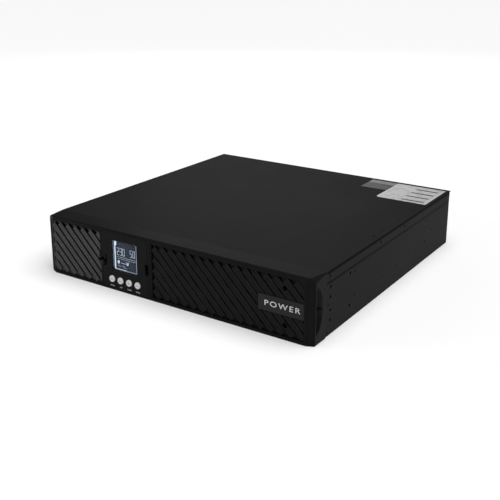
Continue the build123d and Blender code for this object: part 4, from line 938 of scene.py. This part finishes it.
def make_left_grille():
    plate = backing_plate("left_louvre", (LEFT_SPAN[0] - 0.3, LEFT_SPAN[1] + 0.4), LEFT_BAR_START)
    louvre = louvre_bars("left_louvre_bars", LEFT_BAR_START, LEFT_SPAN, 0.7, 3)
    cut(louvre, notch_cutter(NOTCHES[0]))
    pocket = notch_pocket("left_louvre_pocket", (NOTCHES[0][0] - NOTCH_WALL, LEFT_SPAN[1] + 0.4), GRILLE_BACK)
    weld_in(plate, pocket)
    cut(plate, notch_cutter(NOTCHES[0]))
    whole = join("left_louvre", [plate, louvre])
    keep(whole, "case", FINISH["left_grille_plastic"], ("left_grille",))


PLATE_X, PLATE_Z = (141.3, 205.6), (31.7, 53.0)
PLATE_GAP, PLINTH_WALL, PLINTH_FLOOR = 0.9, 1.0, FRONT + 1.6
SCREW_X, SCREWS_Z = 179.0, (18.3, 67.0)
BOSS_RADIUS, BOSS_END = 5.5, FRONT + 29.5
WELL_RADIUS, WELL_DEPTH = 3.25, 10.6
SHANK_HOLE, BOSS_HOLE = 2.0, 5.4
CORNER_CUT = 5.7                            # half side of the square that clips the last bar


def make_right_grille():
    edges = RIGHT_SPAN
    plate = backing_plate("right_louvre", (edges[0] + 0.2, edges[1] + 0.2), RIGHT_BAR_START)
    louvre = louvre_bars("right_louvre_bars", RIGHT_BAR_START, edges, 0.45, 2)
    corner = block("c", (-CORNER_CUT, CORNER_CUT), (FRONT - 5, FRONT + 12), (-CORNER_CUT, CORNER_CUT))
    corner.rotation_euler = (0, math.pi / 4, 0)
    corner.location = (edges[1] * MM, 0, GRILLE_HIGH * MM)
    settle(corner)
    cut(louvre, corner)
    cut(louvre, block("c", (PLATE_X[0] - PLATE_GAP, edges[1] + 1), (FRONT - 1, GRILLE_BACK + 1),
                      (PLATE_Z[0] - PLATE_GAP, PLATE_Z[1] + PLATE_GAP)))
    plinth = block("right_louvre_plinth", (PLATE_X[0] - PLINTH_WALL, edges[1] - 0.1),
                   (FRONT + 1.0, GRILLE_BACK + BACKING), (PLATE_Z[0] - PLINTH_WALL, PLATE_Z[1] + PLINTH_WALL))
    cut(plinth, block("c", (PLATE_X[0], edges[1] + 1), (FRONT - 1, PLINTH_FLOOR), PLATE_Z))
    bevel(plinth, 0.2, 2)
    bosses = []
    for z in SCREWS_Z:
        cut(louvre, rod("c", "y", (SCREW_X, z), BOSS_HOLE, FRONT - 1, GRILLE_BACK + 1))
        boss = rod("right_louvre_boss", "y", (SCREW_X, z), BOSS_RADIUS, BAR_FRONT, BOSS_END, 56)
        cut(boss, rod("c", "y", (SCREW_X, z), WELL_RADIUS, FRONT - 1, FRONT + WELL_DEPTH, 40))
        cut(boss, rod("c", "y", (SCREW_X, z), SHANK_HOLE, FRONT, BOSS_END + 1.5, 32))
        bosses.append(bevel(boss, 0.4, 3))
        cut(plate, rod("c", "y", (SCREW_X, z), BOSS_HOLE, FRONT, FRONT + 8))
    whole = join("right_louvre", [plate, louvre, plinth] + bosses)
    keep(whole, "cover", FINISH["right_grille_plastic"], ("right_grille",))


HEAD_RADIUS, HEAD_HEIGHT, HEAD_FACE = 3.0, 2.6, FRONT + 8.0
HEAD_CROSS, HEAD_CROSS_DEPTH = (1.8, 0.45), 1.2     # reach and half width, depth
SHANK_RADIUS, SHANK_END = 1.75, BEZEL_HIGH.y + 8.0


def make_cover_screws():
    """Cross-head screws at the bottom of the two wells."""
    screws = []
    for z in SCREWS_Z:
        head = rod("c", "y", (SCREW_X, z), HEAD_RADIUS, HEAD_FACE, HEAD_FACE + HEAD_HEIGHT, 40)
        bevel(head, 0.7, 3)
        for across, up in (HEAD_CROSS, HEAD_CROSS[::-1]):
            cut(head, block("c", around(SCREW_X, across), (HEAD_FACE - 1, HEAD_FACE + HEAD_CROSS_DEPTH),
                            around(z, up)))
        shank = rod("c", "y", (SCREW_X, z), SHANK_RADIUS, HEAD_FACE + HEAD_HEIGHT - 0.1, SHANK_END, 24)
        bevel(shank, 0.3, 1)
        screws += [head, shank]
    keep(join("cover_screw_heads", screws), "cover", FINISH["dark_screw"], ("cover_screws",))


WORD, WORD_SHIFT, WORD_BASE, WORD_HEIGHT, WORD_WIDTH = "POWER", 2.4, 39.0, 7.0, 50.0


def make_name_plate():
    """Flat plate with a generic word in raised white letters."""
    low, high = span("name_plate")
    plate = block("plate", (low.x, high.x), (low.y, high.y), (low.z, high.z))
    bevel_edges(plate, 0.5, 3, lambda a, b: abs(a.y - b.y) > 0.5)
    bevel(plate, 0.2, 2)
    keep(plate, "cover", FINISH["plate_plastic"], ("name_plate",))
    middle = (low.x + high.x) / 2 + WORD_SHIFT
    word = lettering("plate_word", WORD, middle, WORD_BASE, WORD_HEIGHT, low.y, 0.08, 1.25, WORD_WIDTH)
    keep(word, "cover", INK)


# ---------------------------------------------------------------- display panel

WINDOW_X, WINDOW_Z = (-96.4, -52.1), (30.0, 72.9)
KEYS = (("escape", -97.3, "ESCAPE", 7.4), ("up", -82.2, "UP", 4.2), ("down", -66.8, "DOWN", 7.2),
        ("enter", -51.6, "ENTER", 6.8))
KEY_Z, KEY_RADIUS, KEY_PLAY = 16.1, 4.65, 0.1
DISH_RADIUS, DISH_DEPTH = 3.1, 0.18
KEY_FLANGE, KEY_STEM = KEY_RADIUS + 1.2, 1.6        # radii
LEGEND_BASE, LEGEND_HEIGHT = 5.0, 2.0
PANEL_WALL = 2.4


def make_display_panel():
    """Square panel: hollow box with the window, four key holes and two finger notches."""
    low, high = PANEL_LOW, PANEL_HIGH
    panel = block("display_panel", (low.x, high.x), (low.y, high.y), (low.z, high.z))
    bevel_edges(panel, 1.0, 4, lambda a, b: abs(a.y - b.y) > 1)
    cut(panel, block("c", (low.x + PANEL_WALL, high.x - PANEL_WALL), (low.y + PANEL_WALL, high.y + 1),
                     (low.z + PANEL_WALL, high.z - PANEL_WALL)))
    for edges in NOTCHES:
        x = (max(edges[0] - NOTCH_WALL, low.x), min(edges[1] + NOTCH_WALL, high.x))
        weld_in(panel, notch_pocket("w", x, FRONT + 1))
    for edges in NOTCHES:
        cut(panel, notch_cutter(edges))
    opening = block("c", WINDOW_X, (FRONT - 1, FRONT + 5), WINDOW_Z)
    bevel_edges(opening, 0.5, 3, lambda a, b: abs(a.y - b.y) > 1)
    cut(panel, opening)
    for _, x, _, _ in KEYS:
        cut(panel, rod("c", "y", (x, KEY_Z), KEY_RADIUS + KEY_PLAY, FRONT - 1, FRONT + 5, 48))
    bevel(panel, 0.3, 3)
    keep(panel, "display_unit", FINISH["display_plastic"], ("display_shell",))


def make_window():
    low, high = span("display_window")
    pane = block("window_pane", (low.x, high.x), (low.y, high.y), (low.z, high.z))
    bevel(pane, 0.2, 2)
    keep(pane, "display_unit", FINISH["window_clear"], ("display_window",))


# Lit segments of the figures shown.
SEGMENTS = {"0": "abcdef", "2": "abged", "3": "abgcd", "5": "afgcd"}


def digit_strokes(figure, x, z, width, height, stroke):
    """Rectangles of one seven-segment figure: (x0, x1, z0, z1)."""
    half = height / 2
    gap = stroke * 0.25
    places = {
        "a": (x + gap, x + width - gap, z + height - stroke, z + height),
        "g": (x + gap, x + width - gap, z + half - stroke / 2, z + half + stroke / 2),
        "d": (x + gap, x + width - gap, z, z + stroke),
        "f": (x, x + stroke, z + half + gap, z + height - gap),
        "b": (x + width - stroke, x + width, z + half + gap, z + height - gap),
        "e": (x, x + stroke, z + gap, z + half - gap),
        "c": (x + width - stroke, x + width, z + gap, z + half - gap),
    }
    return [places[key] for key in SEGMENTS[figure]]


def strokes(name, rectangles, y0, y1, finish, ease=0.12):
    """Thin marks on the display glass, each with eased corners."""
    marks = []
    for x0, x1, z0, z1 in rectangles:
        mark = block("m", (x0, x1), (y0, y1), (z0, z1))
        bevel_edges(mark, min(ease, (x1 - x0) / 3, (z1 - z0) / 3), 2, lambda a, b: abs(a.y - b.y) > 0.01)
        marks.append(mark)
    piece = join(name, marks)
    keep(piece, "display_unit", finish)
    return piece


# Marks on the display glass, each rectangle (x0, x1, z0, z1).
LIGHT_BANDS = ((-93.4, -91.4, 32.0, 71.4), (-91.4, -89.6, 65.6, 71.4), (-93.4, -72.0, 31.2, 32.0))
GLASS_LINES = ((-88.8, -55.4, 49.4, 49.8), (-88.8, -55.4, 46.9, 47.2), (-54.6, -53.9, 32.0, 71.0),
               (-82.0, -73.5, 41.0, 41.7), (-88.0, -82.0, 36.4, 36.8), (-80.0, -74.5, 37.0, 37.4),
               (-79.0, -72.5, 35.0, 35.4), (-95.6, -95.2, 33.0, 71.0), (-72.0, -54.0, 31.0, 31.5))
# Figures: left edge, step, foot, width and height.
READINGS = (("230", -88.6, 4.9, 52.2, 3.8, 10.4), ("50", -65.4, 4.8, 53.0, 3.7, 10.0))
RINGS, RING_HOLE = ((-86.4, 42.4, 2.0), (-70.4, 41.6, 1.8)), 0.35
DOTS = ((-72.6, 44.0), (-68.2, 44.0), (-86.4, 39.4))
STROKE, MARK_PROUD, MARK_SUNK = 0.62, 0.12, 0.02


def make_display_glass():
    """Backlit glass with its figures, bars and pictograms."""
    low, high = span("lcd_module")
    glass = block("lcd_glass", (low.x, high.x), (low.y, high.y), (low.z, high.z))
    bevel(glass, 0.3, 2)
    keep(glass, "display_unit", FINISH["lcd_backlit"], ("lcd_module",))
    y0, y1 = low.y - MARK_PROUD, low.y + MARK_SUNK
    strokes("lcd_light_bands", LIGHT_BANDS, y0, y1, LCD_BRIGHT, 0.3)
    figures = []
    for word, x, step, z, width, height in READINGS:
        for i, figure in enumerate(word):
            figures += digit_strokes(figure, x + step * i, z, width, height, STROKE)
    strokes("lcd_figures", figures, y0, y1, LCD_MARK)
    strokes("lcd_lines", GLASS_LINES, y0, y1, LCD_MARK, 0.1)
    lamps = []
    for x, z, radius in RINGS:
        disc = rod("m", "y", (x, z), radius, y0, y1, 28)
        cut(disc, rod("c", "y", (x, z), radius * RING_HOLE, y0 - 1, y1 + 1, 20))
        lamps.append(disc)
    for x, z in DOTS:
        lamps.append(bevel(block("m", around(x, 0.5), (y0, y1), around(z, 0.6)), 0.08, 1))
    keep(join("lcd_pictograms", lamps), "display_unit", LCD_BRIGHT)


def key_mark(name, x, kind, y0, y1):
    """Small pictogram laid on a key."""
    if kind == "escape":
        ring = rod("m", "y", (x, KEY_Z), 1.5, y0, y1, 32)
        cut(ring, rod("c", "y", (x, KEY_Z), 1.1, y0 - 1, y1 + 1, 28))
        cut(ring, block("c", (x - 0.6, x + 0.6), (y0 - 1, y1 + 1), (KEY_Z, KEY_Z + 3)))
        stem = bevel(block("m", (x - 0.2, x + 0.2), (y0, y1), (KEY_Z + 0.2, KEY_Z + 1.9)), 0.05, 1)
        return join(name, [ring, stem])
    if kind == "enter":
        parts = [block("m", (x - 1.4, x + 1.2), (y0, y1), (KEY_Z - 0.6, KEY_Z - 0.2)),
                 block("m", (x + 0.8, x + 1.2), (y0, y1), (KEY_Z - 0.6, KEY_Z + 1.4)),
                 block("m", (x - 1.6, x - 0.9), (y0, y1), (KEY_Z - 1.0, KEY_Z + 0.2))]
        for part in parts:
            bevel(part, 0.05, 1)
        return join(name, parts)
    flip = 1 if kind == "up" else -1
    arrow = block("m", (x - 1.5, x + 1.5), (y0, y1), (KEY_Z - 1.1, KEY_Z + 1.1))
    for point in arrow.data.vertices:
        if (point.co.z / MM - KEY_Z) * flip > 0:
            point.co.x = (x + (point.co.x / MM - x) * 0.12) * MM
    bevel(arrow, 0.06, 1)
    arrow.name = name
    return arrow


def make_keys():
    """Domed round keys with a flange and plunger, their marks and their printed words."""
    for kind, x, word, width in KEYS:
        low, high = span("button_" + kind)
        cap = rod("key_cap_" + kind, "y", (x, KEY_Z), KEY_RADIUS, low.y, FRONT + PANEL_WALL + 0.4, 56)
        bevel_edges(cap, 0.9, 5, lambda a, b, y=low.y: max(a.y, b.y) < y + 0.01)
        cut(cap, rod("c", "y", (x, KEY_Z), DISH_RADIUS, low.y - 1, low.y + DISH_DEPTH, 48))
        bevel(cap, 0.12, 2, 50)
        flange = bevel(rod("m", "y", (x, KEY_Z), KEY_FLANGE, FRONT + 2.5, FRONT + 3.5, 48), 0.15, 1)
        stem = bevel(rod("m", "y", (x, KEY_Z), KEY_STEM, FRONT + 3.4, high.y, 24), 0.2, 1)
        whole = join("key_cap_" + kind, [cap, flange, stem])
        keep(whole, "key_" + kind, FINISH["key_plastic"], ("button_" + kind,))
        mark = key_mark("key_mark_" + kind, x, kind, low.y + 0.08, low.y + 0.22)
        keep(mark, "key_" + kind, KEY_MARK)
        legend = lettering("legend_" + kind, word, x, LEGEND_BASE, LEGEND_HEIGHT, FRONT, 0.05, 1.15, width)
        keep(legend, "display_unit", INK)


# ---------------------------------------------------------------- the rest of the frame nodes

def soften(node_name, width, angle=35, segments=2):
    """Eases the edges of a carried-over node with live modifiers."""
    piece = NODES[node_name]
    weld = piece.modifiers.new("weld", "WELD")
    weld.merge_threshold = 0.01 * MM
    flat = piece.modifiers.new("flat", "DECIMATE")
    flat.decimate_type = "DISSOLVE"
    flat.angle_limit = math.radians(0.6)
    edge = piece.modifiers.new("edge", "BEVEL")
    edge.width = width * MM
    edge.segments = segments
    edge.limit_method = "ANGLE"
    edge.angle_limit = math.radians(angle)
    normals = piece.modifiers.new("normals", "WEIGHTED_NORMAL")
    normals.keep_sharp = True


# Bevel width of each carried-over node.
SOFT_NODES = {
    "outlet_blocks": 0.3, "mains_inlet": 0.3, "breaker_body": 0.25, "slot_cover": 0.3,
    "serial_port": 0.12, "usb_port": 0.2, "network_ports": 0.2, "epo_terminal": 0.15,
    "external_battery_socket": 0.25, "earth_stud": 0.15, "fan_1_frame": 0.4, "fan_2_frame": 0.4,
    "fan_1_rotor": 0.2, "fan_2_rotor": 0.2, "rear_panel": 0.15, "display_back": 0.3,
    "display_cradle": 0.3, "battery_tray": 0.2, "battery_partition": 0.2, "battery_strap": 0.2,
    "tray_plug": 0.4, "bay_socket": 0.4, "cover_bracket": 0.2, "battery_links": 0.1, "relays": 0.5,
    "power_transistors": 0.3, "bulk_capacitors": 0.8, "choke_coils": 2.5, "transformer": 0.6,
    "main_board": 0.1, "control_card": 0.1, "display_board": 0.1, "rear_screws": 0.12,
    "board_standoffs": 0.2, "rectifier_heatsink": 0.15, "inverter_heatsink": 0.15,
}
SLOT_OF = {part["node"]: part["material_slot"] for part in frame["record"]["subparts"]}


def dress_nodes():
    """Gives every frame node that still shows its finish, and eases the edges of those listed in SOFT_NODES.
    """
    for name, piece in NODES.items():
        if piece.hide_render:
            continue
        piece.data.materials.clear()
        piece.data.materials.append(FINISH[SLOT_OF[name]])
        if name in SOFT_NODES:
            soften(name, SOFT_NODES[name])


def make_floor():
    """Plain pale studio floor."""
    clear_choice()
    bpy.ops.mesh.primitive_plane_add(size=60, location=(0, 0, 0))
    floor = bpy.context.object
    floor.name = "studio_floor"
    material, tree, shader = start_material("floor_paper", Roughness=0.9, Specular_IOR_Level=0.1)
    surface = grain_of(tree, (0.97, 0.97, 0.97), (0.985, 0.985, 0.985), 200.0, 0.8, 0.9, 0.02)
    tree.links.new(surface["Colour"], shader.inputs["Base Color"])
    floor.data.materials.append(material)


bpy.ops.object.select_all(action="DESELECT")
make_lid()
make_pan()
make_flange_screws()
make_stickers()
make_bezel("bezel_left", "bezel_frame", "case")
make_bezel("bezel_right", "front_cover", "cover")
make_left_grille()
make_right_grille()
make_cover_screws()
make_name_plate()
make_display_panel()
make_window()
make_display_glass()
make_keys()
dress_nodes()
make_floor()
